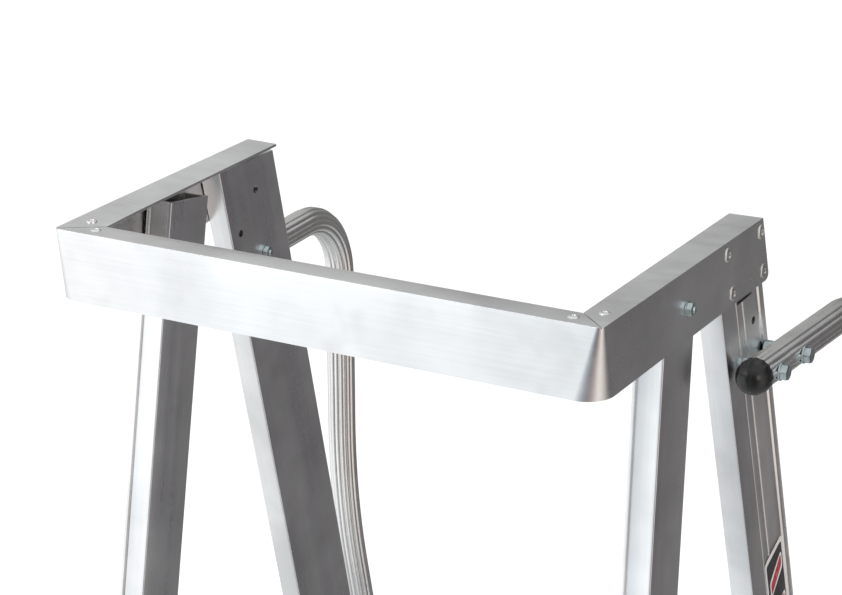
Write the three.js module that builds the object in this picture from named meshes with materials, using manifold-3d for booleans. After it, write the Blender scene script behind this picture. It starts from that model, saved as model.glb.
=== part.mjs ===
// Folding platform stepladder with a U-shaped top guard rail and ribbed side handrails.
// Millimetres, +Z up. The climbing side faces -Y, the closed side of the guard rail faces +Y,
// X = 0 is the plane of symmetry and the shoes stand on Z = 0.
import * as THREE from 'three';
import { mergeVertices } from 'three/addons/utils/BufferGeometryUtils.js';
import Module from 'manifold-3d';

const wasm = await Module();
wasm.setup();

// ---------------------------------------------------------------- driving dimensions
const HEIGHT = 1760;              // floor to the top face of the guard rail
const RAIL_WIDTH = 520;           // closed side of the guard rail, outside to outside
const RAIL_WEB = 63;              // height of the rail's upright leg
const RAIL_FLANGE = 32;           // width of the rail's top leg
const RAIL_WALL = 3;
const RAIL_SPLAY = 0.0162;        // outward growth of the arms per unit of depth
const RAIL_CORNER = 14;           // outside radius of the bent corners
const ARM_DEPTH = 306;            // closed side to the top of the arms' free ends

const CLIMB_TILT = 15;            // degrees from upright
const REAR_TILT = 8.7;
const CLIMB_SPLAY = 0.0255;       // outward growth per unit of fall
const REAR_SPLAY = 0.0334;
const CLIMB = { width: 22, depth: 88, wall: 2.5, groove: 2, outerAtRail: 260.4, faceAtRail: 231.3 };
const REAR = { width: 26.5, depth: 58, wall: 3, outerAtRail: 257.6, faceAtRail: 121.4 };
const DATUM = HEIGHT - 62;        // height at which the stile offsets above are given

const PIVOT = { depth: 154, z: HEIGHT - 32.6 };
const PIVOT_BOLT = 8;
const REAR_TOP_PAST_PIVOT = 20;

const PLATFORM_TOP = 860;
const STEP_RISE = 286;
const PLATFORM = { rear: 6, nose: 528, halfWidth: 244, height: 28, flange: 22, wall: 3, web: 4 };
const PLANKS = 3;
const HINGE = { depth: 492, z: PLATFORM_TOP - PLATFORM.height / 2, bolt: 10 };

const HANDRAIL = { radius: 15, wall: 2, drop: 125, start: 7, reach: 517, bend: 80, sweep: 700 };
const HANDRAIL_SPLAY = 0.06;
const HANDRAIL_RETURN = 640;      // height of the lower fixing
const BRACKET_WALL = 3;
const GAP = 0.3;                  // clearance between touching pieces

// ---------------------------------------------------------------- where things are
const slope = (degrees) => Math.tan(THREE.MathUtils.degToRad(degrees));
const horizontal = (depth, degrees) => depth / Math.cos(THREE.MathUtils.degToRad(degrees));

// Depths run from the outer face of the closed rail towards the climber.
const climbFace = (z) => CLIMB.faceAtRail + slope(CLIMB_TILT) * (DATUM - z);
const climbBack = (z) => climbFace(z) + horizontal(CLIMB.depth, CLIMB_TILT);
const rearFace = (z) => REAR.faceAtRail - slope(REAR_TILT) * (DATUM - z);
const rearMiddle = (z) => rearFace(z) + horizontal(REAR.depth, REAR_TILT) / 2;
const climbOuter = (z) => CLIMB.outerAtRail + CLIMB_SPLAY * (DATUM - z);
const rearOuter = (z) => REAR.outerAtRail + REAR_SPLAY * (DATUM - z);
const armOuter = (depth) => RAIL_WIDTH / 2 + RAIL_SPLAY * depth;

const SHOE_WALL = 3;
const SHOE_SOLE = 8;
const SHOE_HEIGHT = 48;
const FRONT_REACH = climbBack(0) + horizontal(SHOE_WALL, CLIMB_TILT);
const BACK_REACH = horizontal(SHOE_WALL, REAR_TILT) - rearFace(0);
const RAIL_Y = (FRONT_REACH - BACK_REACH) / 2;
const toY = (depth) => RAIL_Y - depth;

// ---------------------------------------------------------------- solids
function toSolid(geometry) {
  const bare = geometry.clone();
  bare.deleteAttribute('normal');
  bare.deleteAttribute('uv');
  const merged = mergeVertices(bare, 1e-4);
  return new wasm.Manifold(new wasm.Mesh({
    numProp: 3,
    vertProperties: new Float32Array(merged.attributes.position.array),
    triVerts: new Uint32Array(merged.index.array),
  }));
}

function toGeometry(solid) {
  const mesh = solid.getMesh();
  const geometry = new THREE.BufferGeometry();
  geometry.setAttribute('position', new THREE.BufferAttribute(new Float32Array(mesh.vertProperties), 3));
  geometry.setIndex(new THREE.BufferAttribute(new Uint32Array(mesh.triVerts), 1));
  geometry.computeVertexNormals();
  return geometry;
}

const union = (first, ...rest) => rest.reduce((sum, solid) => sum.add(solid), first);
const cutAll = (first, ...rest) => rest.reduce((sum, solid) => sum.subtract(solid), first);

function box(x0, x1, y0, y1, z0, z1) {
  const geometry = new THREE.BoxGeometry(Math.abs(x1 - x0), Math.abs(y1 - y0), Math.abs(z1 - z0));
  geometry.translate((x0 + x1) / 2, (y0 + y1) / 2, (z0 + z1) / 2);
  return toSolid(geometry);
}

// A round bar along X.
function barX(x0, x1, y, z, radius, sides = 16) {
  const geometry = new THREE.CylinderGeometry(radius, radius, Math.abs(x1 - x0), sides);
  geometry.rotateZ(Math.PI / 2);
  geometry.translate((x0 + x1) / 2, y, z);
  return toSolid(geometry);
}

function barZ(x, y, z0, z1, radius, sides = 16) {
  const geometry = new THREE.CylinderGeometry(radius, radius, z1 - z0, sides);
  geometry.rotateX(Math.PI / 2);
  geometry.translate(x, y, (z0 + z1) / 2);
  return toSolid(geometry);
}

// A closed outline, always anticlockwise.
function outline(points) {
  const corners = points.map(([x, y]) => new THREE.Vector2(x, y));
  if (THREE.ShapeUtils.isClockWise(corners)) corners.reverse();
  return new THREE.Shape(corners);
}

function prism(shape, length) {
  return new THREE.ExtrudeGeometry(shape, { depth: length, bevelEnabled: false, curveSegments: 8 });
}

// A profile drawn in (Y, Z) and run along X from x0 to x1.
function alongX(shape, x0, x1) {
  const geometry = prism(shape, x1 - x0);
  const axes = new THREE.Matrix4().makeBasis(
    new THREE.Vector3(0, 1, 0), new THREE.Vector3(0, 0, 1), new THREE.Vector3(1, 0, 0));
  geometry.applyMatrix4(axes);
  geometry.translate(x0, 0, 0);
  return toSolid(geometry);
}

// A hollow extrusion along X: its outline less each of its cells.
function hollowAlongX(shape, cells, x0, x1) {
  return cutAll(alongX(shape, x0, x1), ...cells.map((cell) => alongX(cell, x0 - 1, x1 + 1)));
}

// ---------------------------------------------------------------- stiles
// A stile's section is drawn as (outward, depth) from its outer edge nearest the closed rail.
function stileBasis(side, tilt, splay, towards) {
  const up = new THREE.Vector3(-side * splay, towards * slope(tilt), 1).normalize();
  const out = new THREE.Vector3(side, 0, splay).normalize();
  const across = new THREE.Vector3().crossVectors(up, out).normalize();
  return { up, out, across };
}

function stileSolid(side, spec, tilt, splay, towards, points, hole) {
  const { up, out, across } = stileBasis(side, tilt, splay, towards);
  // "across" points towards the climber on one side of the ladder and away on the other
  const flip = across.y < 0 ? 1 : -1;
  const shape = outline(points.map(([u, v]) => [u, flip * v]));
  if (hole) shape.holes.push(outline(hole.map(([u, v]) => [u, flip * v])));
  const length = HEIGHT * 1.2;
  const geometry = prism(shape, length);
  geometry.translate(0, 0, -length * 0.95);
  geometry.applyMatrix4(new THREE.Matrix4().makeBasis(out, across, up));
  geometry.translate(side * spec.outerAtRail, toY(spec.faceAtRail), DATUM);
  return toSolid(geometry);
}

const rectangle = (u0, u1, v0, v1) => [[u0, v0], [u1, v0], [u1, v1], [u0, v1]];

const climbSection = [
  [-CLIMB.width, 0], [0, 0], [0, 29], [-CLIMB.groove, 31], [-CLIMB.groove, 77],
  [0, 79], [0, CLIMB.depth], [-CLIMB.width, CLIMB.depth],
];
const climbHollow = rectangle(
  CLIMB.wall - CLIMB.width, -CLIMB.wall - CLIMB.groove, CLIMB.wall, CLIMB.depth - CLIMB.wall);

const rearSection = rectangle(-REAR.width, 0, 0, REAR.depth);
const rearHollow = rectangle(
  REAR.wall - REAR.width, -REAR.wall, REAR.wall, REAR.depth - REAR.wall);

const SLAB = 2000;
const below = (z) => box(-SLAB, SLAB, -SLAB, SLAB, z - SLAB, z);
const above = (z) => box(-SLAB, SLAB, -SLAB, SLAB, z, z + SLAB);

const RAIL_BOLTS = [34, 82];      // handrail bolts, measured from the stile's face
const HANDRAIL_TOP = HEIGHT - HANDRAIL.drop;
const HANDRAIL_BOLT = 8;

function climbingStile(side) {
  const x = side * climbOuter(HEIGHT);
  const bolt = (y, z, radius) => barX(x - side * 60, x + side * 90, y, z, radius, 12);
  return cutAll(
    stileSolid(side, CLIMB, CLIMB_TILT, CLIMB_SPLAY, 1, climbSection, climbHollow),
    below(SHOE_SOLE),
    above(HEIGHT - RAIL_WALL - GAP),
    bolt(toY(climbFace(HANDRAIL_TOP) + RAIL_BOLTS[0]), HANDRAIL_TOP, HANDRAIL_BOLT / 2 + GAP),
    bolt(toY(climbFace(HANDRAIL_RETURN) + RAIL_BOLTS[0]), HANDRAIL_RETURN, HANDRAIL_BOLT / 2 + GAP),
    bolt(toY(HINGE.depth), HINGE.z, HINGE.bolt / 2 + GAP),
  );
}

// The top end is cut square, just past the pivot, so that it clears the rail as it swings.
function rearStile(side) {
  const x = side * rearOuter(PIVOT.z);
  const tilt = THREE.MathUtils.degToRad(REAR_TILT);
  const cap = new THREE.BoxGeometry(200, 200, 200);
  cap.translate(0, 0, REAR_TOP_PAST_PIVOT + 100);
  cap.rotateX(tilt);
  cap.translate(x, toY(PIVOT.depth), PIVOT.z);
  return cutAll(
    stileSolid(side, REAR, REAR_TILT, REAR_SPLAY, -1, rearSection, rearHollow),
    below(SHOE_SOLE),
    toSolid(cap),
    barX(x - side * 12, x + side * 12, toY(PIVOT.depth), PIVOT.z, PIVOT_BOLT / 2 + GAP, 12),
  );
}

// ---------------------------------------------------------------- guard rail
// Plan of the U, a given distance inside its outer face.
function railPlan(inset, armEnd) {
  const end = armOuter(armEnd) - inset;
  const front = RAIL_WIDTH / 2 - inset;
  const radius = Math.max(RAIL_CORNER - inset, 0.5);
  const shape = new THREE.Shape();
  shape.moveTo(end, toY(armEnd));
  shape.lineTo(front, toY(inset + radius));
  shape.absarc(front - radius, toY(inset + radius), radius, 0, Math.PI / 2, false);
  shape.absarc(radius - front, toY(inset + radius), radius, Math.PI / 2, Math.PI, false);
  shape.lineTo(-end, toY(armEnd));
  return shape;
}

function railSolid(inset, z0, z1, armEnd) {
  const geometry = prism(railPlan(inset, armEnd), z1 - z0);
  geometry.translate(0, 0, z0);
  return toSolid(geometry);
}

// Everything beyond the slanted free ends of the arms, which follow the climbing stiles.
function beyondArms(reach) {
  const lean = slope(CLIMB_TILT);
  const at = (z) => toY(ARM_DEPTH + lean * (HEIGHT - z));
  const high = HEIGHT + 20;
  const low = HEIGHT - RAIL_WEB - 20;
  const shape = outline([[at(high), high], [at(low), low], [toY(reach), low], [toY(reach), high]]);
  return alongX(shape, -RAIL_WIDTH, RAIL_WIDTH);
}

const RIVET = { head: 6.5, proud: 1.8, back: 0.6 };

// The four rivets that hold each arm to its climbing stile, as (depth, drop) from the rail's edges.
const ARM_RIVETS = [[233, 12], [302, 12], [246, 51.5], [311, 51.5]];
const GUSSET_RIVETS = [[14.5, 34.5], [32.5, 16.5]];
const GUSSET_RIVET = { head: 4.75, proud: 1.3, shank: 2.4 };
const GUSSET = { inset: RAIL_WALL + GAP, reach: 52, chamfer: 12, wall: 2 };

function domeX(side, x, y, z, radius, height) {
  const profile = [[0, 0], [radius, 0], [radius * 0.92, height * 0.55], [radius * 0.55, height], [0, height]];
  const geometry = new THREE.LatheGeometry(profile.map(([r, h]) => new THREE.Vector2(r, h)), 14);
  geometry.rotateZ(-side * Math.PI / 2);
  geometry.translate(x, y, z);
  return toSolid(geometry);
}

function guardRail() {
  const far = ARM_DEPTH + 60;
  const bottom = HEIGHT - RAIL_WEB;
  const under = HEIGHT - RAIL_WALL;
  const bay = (inset) => railSolid(inset, bottom - 1, HEIGHT + 1, far + 1);
  const web = railSolid(0, bottom, HEIGHT, far).subtract(bay(RAIL_WALL));
  const top = railSolid(0, under, HEIGHT, far).subtract(bay(RAIL_FLANGE));
  let rail = union(web, top).subtract(beyondArms(far + 20));
  for (const side of [-1, 1]) {
    for (const [depth, drop] of ARM_RIVETS) {
      const x = side * (armOuter(depth) - RIVET.back);
      rail = rail.add(domeX(side, x, toY(depth), HEIGHT - drop, RIVET.head, RIVET.proud + RIVET.back));
    }
    const x = side * armOuter(PIVOT.depth);
    const hole = PIVOT_BOLT / 2 + GAP;
    rail = rail.subtract(barX(x - side * 8, x + side * 8, toY(PIVOT.depth), PIVOT.z, hole, 12));
    for (const [inset, depth] of GUSSET_RIVETS) {
      const across = side * (RAIL_WIDTH / 2 - inset);
      rail = rail.subtract(barZ(across, toY(depth), under - 2, HEIGHT + 2, GUSSET_RIVET.shank + GAP, 12));
    }
  }
  return rail;
}

// The plate under each mitred corner, with its two rivets coming up through the flange.
function cornerGusset(side) {
  const { inset, reach, chamfer, wall } = GUSSET;
  const x = RAIL_WIDTH / 2;
  const plan = outline([
    [side * (x - inset - chamfer), toY(inset)], [side * (x - inset - reach), toY(inset)],
    [side * (x - inset - reach), toY(RAIL_FLANGE)], [side * (x - RAIL_FLANGE), toY(inset + reach)],
    [side * (x - inset), toY(inset + reach)], [side * (x - inset), toY(inset + chamfer)],
  ]);
  const plate = prism(plan, wall);
  plate.translate(0, 0, HEIGHT - RAIL_WALL - GAP - wall);
  const { head, proud, shank } = GUSSET_RIVET;
  let gusset = toSolid(plate);
  for (const [across, depth] of GUSSET_RIVETS) {
    const rx = side * (x - across);
    gusset = union(gusset,
      barZ(rx, toY(depth), HEIGHT - RAIL_WALL - 1, HEIGHT + GAP + 0.5, shank, 12),
      barZ(rx, toY(depth), HEIGHT + GAP, HEIGHT + GAP + proud, head, 14));
  }
  return gusset;
}

// ---------------------------------------------------------------- bolts, washers
// A through bolt along X: hexagon head outside, nut inside.
function throughBolt(side, outside, inside, y, z, diameter, head = 5.5) {
  const across = diameter * 0.94;
  return union(
    barX(side * (outside + head), side * outside, y, z, across, 6),
    barX(side * (outside + 1), side * (inside - 1), y, z, diameter / 2, 12),
    barX(side * inside, side * (inside - head), y, z, across, 6));
}

function pivotBolt(side) {
  const outside = armOuter(PIVOT.depth) + GAP;
  const inside = rearOuter(PIVOT.z) - REAR.wall - GAP - 0.4;
  return throughBolt(side, outside, inside, toY(PIVOT.depth), PIVOT.z, PIVOT_BOLT);
}

function pivotWasher(side) {
  const outer = armOuter(PIVOT.depth) - RAIL_WALL - GAP;
  const inner = rearOuter(PIVOT.z) + 0.8;
  const y = toY(PIVOT.depth);
  return barX(side * outer, side * inner, y, PIVOT.z, 10, 20)
    .subtract(barX(side * (outer + 2), side * (inner - 2), y, PIVOT.z, PIVOT_BOLT / 2 + GAP, 12));
}

// ---------------------------------------------------------------- handrails
const railOffset = GAP + BRACKET_WALL + GAP + HANDRAIL.radius;

function handrailX(depth, z) {
  const beyond = Math.max(depth - climbFace(z) - 15, 0);
  return climbOuter(z) + railOffset + HANDRAIL_SPLAY * beyond;
}

// Stations of the tube's centre line: level from the upper fixing, down, parallel to the
// climbing stile, and back to the lower fixing. Depth and height, then lifted to 3-D.
function handrailStations() {
  const { start, reach, bend, sweep } = HANDRAIL;
  const lean = THREE.MathUtils.degToRad(CLIMB_TILT);
  const route = [[climbFace(HANDRAIL_TOP) + start, HANDRAIL_TOP]];
  const arc = (cx, cz, radius, from, to, steps) => {
    for (let i = 0; i <= steps; i += 1) {
      const angle = from + (to - from) * i / steps;
      route.push([cx + radius * Math.cos(angle), cz + radius * Math.sin(angle)]);
    }
  };
  arc(reach - bend, HANDRAIL_TOP - bend, bend, Math.PI / 2, 0, 6);
  const straightEnd = HEIGHT - 370;
  arc(reach + sweep, straightEnd, sweep, Math.PI, Math.PI + lean, 3);
  const [d1, z1] = route[route.length - 1];
  const centreZ = HANDRAIL_RETURN + bend;
  const turnZ = centreZ + bend * Math.sin(lean);
  const centreD = d1 + Math.tan(lean) * (z1 - turnZ) - bend * Math.cos(lean);
  arc(centreD, centreZ, bend, lean, -Math.PI / 2, 7);
  route.push([climbFace(HANDRAIL_RETURN) + start, HANDRAIL_RETURN]);
  return route;
}

// A path that steps from station to station, so that bends get the sections and straights do not.
class Route extends THREE.Curve {
  constructor(points) {
    super();
    this.points = points;
  }

  getPoint(t, target = new THREE.Vector3()) {
    const place = t * (this.points.length - 1);
    const index = Math.min(Math.floor(place + 1e-6), this.points.length - 2);
    return target.lerpVectors(this.points[index], this.points[index + 1], place - index);
  }

  getPointAt(t, target) {
    return this.getPoint(t, target);
  }

  getTangentAt(t, target = new THREE.Vector3()) {
    const last = this.points.length - 1;
    const index = Math.round(t * last);
    const ahead = this.points[Math.min(index + 1, last)].clone().sub(this.points[index]).normalize();
    const behind = this.points[index].clone().sub(this.points[Math.max(index - 1, 0)]).normalize();
    return target.addVectors(ahead, behind).normalize();
  }
}

function sweep(shape, points) {
  return toSolid(new THREE.ExtrudeGeometry(shape, {
    extrudePath: new Route(points), steps: points.length - 1, bevelEnabled: false, curveSegments: 4,
  }));
}

function ring(radius, wall, sides = 12) {
  const circle = (r) => Array.from({ length: sides }, (_, i) => {
    const angle = 2 * Math.PI * (i + 0.5) / sides;
    return [r * Math.cos(angle), r * Math.sin(angle)];
  });
  const shape = outline(circle(radius));
  if (wall) shape.holes.push(outline(circle(radius - wall)));
  return shape;
}

const fixings = [
  { name: 'upper', z: HANDRAIL_TOP },
  { name: 'lower', z: HANDRAIL_RETURN },
];

function handrail(side) {
  const points = handrailStations().map(([d, z]) => new THREE.Vector3(side * handrailX(d, z), toY(d), z));
  let tube = sweep(ring(HANDRAIL.radius, HANDRAIL.wall), points);
  for (const { z } of fixings) {
    for (const offset of RAIL_BOLTS) {
      const depth = climbFace(z) + offset;
      const x = side * handrailX(depth, z);
      tube = tube.subtract(barX(x - 25, x + 25, toY(depth), z, HANDRAIL_BOLT / 2 + GAP, 12));
    }
  }
  return tube;
}

// Plate between stile and tube with its two bolts; the first goes on through the stile to a nut.
function handrailBracket(side, z) {
  const face = climbFace(z);
  const inner = climbOuter(z - 16) + GAP;
  const outer = climbOuter(z) + GAP + BRACKET_WALL;
  let bracket = box(side * inner, side * outer, toY(face + 20), toY(face + 91), z - 9, z + 9);
  RAIL_BOLTS.forEach((offset, index) => {
    const depth = face + offset;
    const outside = handrailX(depth, z) + HANDRAIL.radius + 0.8;
    const y = toY(depth);
    bracket = union(bracket,
      barX(side * (inner + 0.5), side * (outside + 1), y, z, HANDRAIL_BOLT / 2, 12),
      barX(side * outside, side * (outside + 1.6), y, z, HANDRAIL_BOLT, 16),
      barX(side * (outside + 1), side * (outside + 7), y, z, HANDRAIL_BOLT * 0.94, 6));
    if (index === 0) {
      const nut = climbOuter(z) - CLIMB.width - GAP - 0.5;
      bracket = union(bracket,
        barX(side * (inner + 1), side * (nut - 1), y, z, HANDRAIL_BOLT / 2, 12),
        barX(side * nut, side * (nut - 6.5), y, z, HANDRAIL_BOLT * 0.94, 6));
    }
  });
  return bracket;
}

// Domed end cap with a short plug inside the tube.
function handrailCap(side, z) {
  const radius = HANDRAIL.radius + 1.8;
  const plug = HANDRAIL.radius - HANDRAIL.wall - 1.8;
  const seat = 1.2;
  const profile = [[0, -12], [plug, -12], [plug, seat], [radius, seat], [radius, 6]];
  const dome = 5;
  for (let i = 1; i <= dome; i += 1) {
    const angle = Math.PI / 2 * i / dome;
    profile.push([radius * Math.cos(angle), 6 + 11 * Math.sin(angle)]);
  }
  profile[profile.length - 1][0] = 0;
  const geometry = new THREE.LatheGeometry(profile.map(([r, h]) => new THREE.Vector2(r, h)), 20);
  const depth = climbFace(z) + HANDRAIL.start;
  geometry.translate(side * handrailX(depth, z), toY(depth), z);
  return toSolid(geometry);
}

// ---------------------------------------------------------------- treads
const TREAD = { depth: 80, height: 26, wall: 2.2, nose: 5 };

function treadX(z) {
  return climbOuter(z) - CLIMB.width - GAP;
}

function tread(top) {
  const { depth, height, wall, nose } = TREAD;
  const front = toY(climbBack(top) - 2);
  const back = front + depth;
  const shape = outline([
    [front + nose, top - height], [front, top - height + nose], [front, top - nose],
    [front + nose, top], [back, top], [back, top - height],
  ]);
  const mid = (front + back) / 2;
  const cells = [[front + nose, mid - wall / 2], [mid + wall / 2, back - wall]]
    .map(([y0, y1]) => outline(rectangle(y0, y1, top - height + wall, top - wall)));
  return hollowAlongX(shape, cells, -treadX(top), treadX(top));
}

// Angle under a tread's end, upright leg against the stile.
function treadBracket(side, top) {
  const z = top - TREAD.height - GAP;
  const outer = treadX(z - 3);
  const y = toY(climbFace(z) + 18);
  const leg = 24;
  return union(
    box(side * outer, side * (outer - BRACKET_WALL), y, y - 60, z - leg, z),
    box(side * outer, side * (outer - leg), y, y - 60, z - BRACKET_WALL, z));
}

// Flat brace from the middle of a tread's underside out and down to the stile.
function kneeBrace(side, top) {
  const z = top - TREAD.height - GAP;
  const drop = 150;
  const inner = 150;
  const outer = treadX(z - drop) - 1;
  const wall = 3;
  const y = toY(climbFace(z - drop) + 52);
  const shape = outline([
    [inner - 30, z], [inner + 4, z], [outer, z - drop + 4], [outer, z - drop - 26],
    [outer - wall, z - drop - 26], [outer - wall, z - drop + 2],
    [inner + 2, z - wall], [inner - 30, z - wall],
  ].map(([x, height]) => [side * x, height]));
  const geometry = prism(shape, 24);
  geometry.rotateX(Math.PI / 2);
  geometry.translate(0, y + 24, 0);
  return toSolid(geometry);
}

// ---------------------------------------------------------------- platform
// The side channels open outward, so that the planks between their webs lie flush with the top.
const WEB_INNER = PLATFORM.halfWidth - PLATFORM.flange;
const WEB_OUTER = WEB_INNER + PLATFORM.web;

function platformSide(side) {
  const { rear, nose, halfWidth, height, wall } = PLATFORM;
  const top = PLATFORM_TOP;
  const low = top - height;
  const y0 = toY(nose);
  const y1 = toY(rear);
  const hole = HINGE.bolt / 2 + GAP;
  return union(
    box(side * WEB_INNER, side * WEB_OUTER, y0, y1, low, top),
    box(side * WEB_INNER, side * halfWidth, y0, y1, top - wall, top),
    box(side * WEB_INNER, side * halfWidth, y0, y1, low, low + wall),
  ).subtract(barX(side * (WEB_INNER - 5), side * (WEB_OUTER + 5), toY(HINGE.depth), HINGE.z, hole, 12));
}

const PLANK = { gap: 2, skin: 2.2, cells: 3 };

function platformPlank(index) {
  const { rear, nose, height } = PLATFORM;
  const { gap, skin, cells: count } = PLANK;
  const pitch = (nose - rear) / PLANKS;
  const front = toY(nose - index * pitch) + gap / 2;
  const back = front + pitch - gap;
  const low = PLATFORM_TOP - height;
  const step = (back - front - skin) / count;
  const cells = Array.from({ length: count }, (_, i) => outline(
    rectangle(front + skin + i * step, front + (i + 1) * step, low + skin, PLATFORM_TOP - skin)));
  const end = WEB_INNER - GAP;
  return hollowAlongX(outline(rectangle(front, back, low, PLATFORM_TOP)), cells, -end, end);
}

// Shoulder bolt from the climbing stile into the web of the platform's side channel, with its bush.
function hingeBolt(side) {
  const y = toY(HINGE.depth);
  const outer = climbOuter(HINGE.z) + GAP + 0.2;
  const bush = climbOuter(HINGE.z) - CLIMB.width - GAP - 0.2;
  const nut = WEB_OUTER + GAP;
  return union(
    barX(side * (outer + 6), side * outer, y, HINGE.z, 9, 6),
    barX(side * (outer + 1), side * (WEB_INNER + 1), y, HINGE.z, HINGE.bolt / 2, 12),
    barX(side * bush, side * (nut + 5), y, HINGE.z, 8, 16),
    barX(side * (nut + 6), side * nut, y, HINGE.z, 8.5, 6));
}

// ---------------------------------------------------------------- rear frame
const REST = { width: 25, top: 826, depth: 22.5 };

// A rectangular tube between the rear stiles.
function crossTube(z0, z1, y0, y1, reach, wall = 2) {
  const cell = outline(rectangle(y0 + wall, y1 - wall, z0 + wall, z1 - wall));
  return hollowAlongX(outline(rectangle(y0, y1, z0, z1)), [cell], -reach, reach);
}

function restTube() {
  const z0 = REST.top - REST.width;
  const reach = rearOuter(REST.top) - REAR.width - 0.5;
  const y = toY(REST.depth + REST.width / 2);
  return crossTube(z0, REST.top, y, y + REST.width, reach);
}

// Nylon saddle under each platform side that drops over the rest tube and holds the frames apart.
function platformSaddle(side) {
  const base = PLATFORM_TOP - PLATFORM.height - GAP;
  const seat = REST.top + GAP;
  const rear = toY(REST.depth - REST.width / 2 - 2);
  const front = toY(REST.depth + REST.width / 2 + 10);
  const tip = REST.top - 12;
  const shape = outline([
    [rear + 7, base], [rear + 7, tip], [rear, tip], [rear, seat], [front, seat],
    [front, tip], [front - 8, tip], [front - 12, base],
  ]);
  const x = side * (PLATFORM.halfWidth - 13);
  return alongX(shape, x - 9, x + 9);
}

const REAR_BRACES = [
  { name: 'rear_brace_upper', z: 545, height: 34 },
  { name: 'rear_brace_lower', z: 235, height: 34 },
];
const BRACE_DEPTH = 22;

function rearBrace(z, height) {
  const front = toY(rearMiddle(z + height / 2)) - BRACE_DEPTH / 2;
  const reach = rearOuter(z + height) - REAR.width - 0.5;
  return crossTube(z, z + height, front, front + BRACE_DEPTH, reach);
}

// Tube between the climbing stiles, just under the platform's front.
const CROSS_TUBE = { z: 772, size: 25, inset: 20 };

function climbingCrossTube() {
  const { z, size, inset } = CROSS_TUBE;
  const front = toY(climbBack(z) - inset);
  return crossTube(z, z + size, front, front + size, treadX(z + size));
}

// Flat diagonals, one on each face of the two rear braces, from one stile to the other.
const DIAGONAL = { width: 24, thickness: 3, offset: 15.7, inset: 20, overrun: 12 };

function rearDiagonal(side) {
  const [upper, lower] = REAR_BRACES;
  const high = { z: upper.z + upper.height / 2 };
  const low = { z: lower.z + lower.height / 2 };
  for (const end of [high, low]) {
    end.x = rearOuter(end.z) - REAR.width - DIAGONAL.inset;
    end.y = toY(rearMiddle(end.z)) + side * DIAGONAL.offset;
  }
  const from = new THREE.Vector3(side * low.x, low.y, low.z);
  const to = new THREE.Vector3(-side * high.x, high.y, high.z);
  const along = to.clone().sub(from);
  const length = along.length() + 2 * DIAGONAL.overrun;
  const geometry = new THREE.BoxGeometry(DIAGONAL.width, DIAGONAL.thickness, length);
  along.normalize();
  const lean = THREE.MathUtils.degToRad(REAR_TILT);
  const normal = new THREE.Vector3(0, -Math.cos(lean), -Math.sin(lean));
  const flat = new THREE.Vector3().crossVectors(normal, along);
  geometry.applyMatrix4(new THREE.Matrix4().makeBasis(flat, normal, along));
  const centre = from.add(to).multiplyScalar(0.5);
  geometry.translate(centre.x, centre.y, centre.z);
  return toSolid(geometry);
}

// ---------------------------------------------------------------- shoes
const around = (spec, margin) => rectangle(-spec.width - margin, margin, -margin, spec.depth + margin);

function shoe(side, spec, tilt, splay, towards) {
  const body = stileSolid(side, spec, tilt, splay, towards, around(spec, SHOE_WALL));
  const pocket = stileSolid(side, spec, tilt, splay, towards, around(spec, GAP))
    .subtract(below(SHOE_SOLE - GAP));
  return cutAll(body, below(0), above(SHOE_HEIGHT), pocket);
}

// ---------------------------------------------------------------- assembly
function material(color, roughness, metalness) {
  return new THREE.MeshStandardMaterial({ color, roughness, metalness });
}

const aluminium = material(0xb4b8ba, 0.38, 0.9);
const ribbed = material(0xa9a8a4, 0.35, 0.9);
const zinc = material(0x9aa4a6, 0.4, 0.85);
const blackPlastic = material(0x151617, 0.45, 0);
const rubber = material(0x1c1c1d, 0.8, 0);

const ladder = new THREE.Group();

function add(name, solid, look) {
  const mesh = new THREE.Mesh(toGeometry(solid), look);
  mesh.name = name;
  ladder.add(mesh);
}

for (const [side, hand] of [[-1, 'left'], [1, 'right']]) {
  add(`climbing_stile_${hand}`, climbingStile(side), aluminium);
  add(`rear_stile_${hand}`, rearStile(side), aluminium);
  add(`climbing_shoe_${hand}`, shoe(side, CLIMB, CLIMB_TILT, CLIMB_SPLAY, 1), rubber);
  add(`rear_shoe_${hand}`, shoe(side, REAR, REAR_TILT, REAR_SPLAY, -1), rubber);
  add(`corner_gusset_${hand}`, cornerGusset(side), aluminium);
  add(`pivot_bolt_${hand}`, pivotBolt(side), zinc);
  add(`pivot_washer_${hand}`, pivotWasher(side), blackPlastic);
  add(`handrail_${hand}`, handrail(side), ribbed);
  for (const { name, z } of fixings) {
    add(`handrail_bracket_${name}_${hand}`, handrailBracket(side, z), zinc);
    add(`handrail_cap_${name}_${hand}`, handrailCap(side, z), blackPlastic);
  }
  for (let step = 1; step <= 2; step += 1) {
    add(`tread_${step}_bracket_${hand}`, treadBracket(side, step * STEP_RISE), aluminium);
  }
  add(`knee_brace_${hand}`, kneeBrace(side, STEP_RISE), aluminium);
  add(`platform_side_${hand}`, platformSide(side), aluminium);
  add(`platform_saddle_${hand}`, platformSaddle(side), blackPlastic);
  add(`platform_hinge_bolt_${hand}`, hingeBolt(side), zinc);
  add(`rear_diagonal_${hand}`, rearDiagonal(side), aluminium);
}

add('guard_rail', guardRail(), aluminium);
for (let step = 1; step <= 2; step += 1) {
  add(`tread_${step}`, tread(step * STEP_RISE), aluminium);
}
for (let plank = 0; plank < PLANKS; plank += 1) {
  add(`platform_plank_${plank + 1}`, platformPlank(plank), aluminium);
}
add('platform_rest_tube', restTube(), aluminium);
for (const { name, z, height } of REAR_BRACES) add(name, rearBrace(z, height), aluminium);
add('platform_cross_tube', climbingCrossTube(), aluminium);

export default ladder;
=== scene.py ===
# The looks of the folding platform stepladder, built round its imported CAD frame.
# Lengths are in millimetres until a piece's vertices are written, and the axes are the part's own:
# +Z up, the closed side of the guard rail towards +Y, the climber on the -Y side, X = 0 in the middle.
import math

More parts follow.
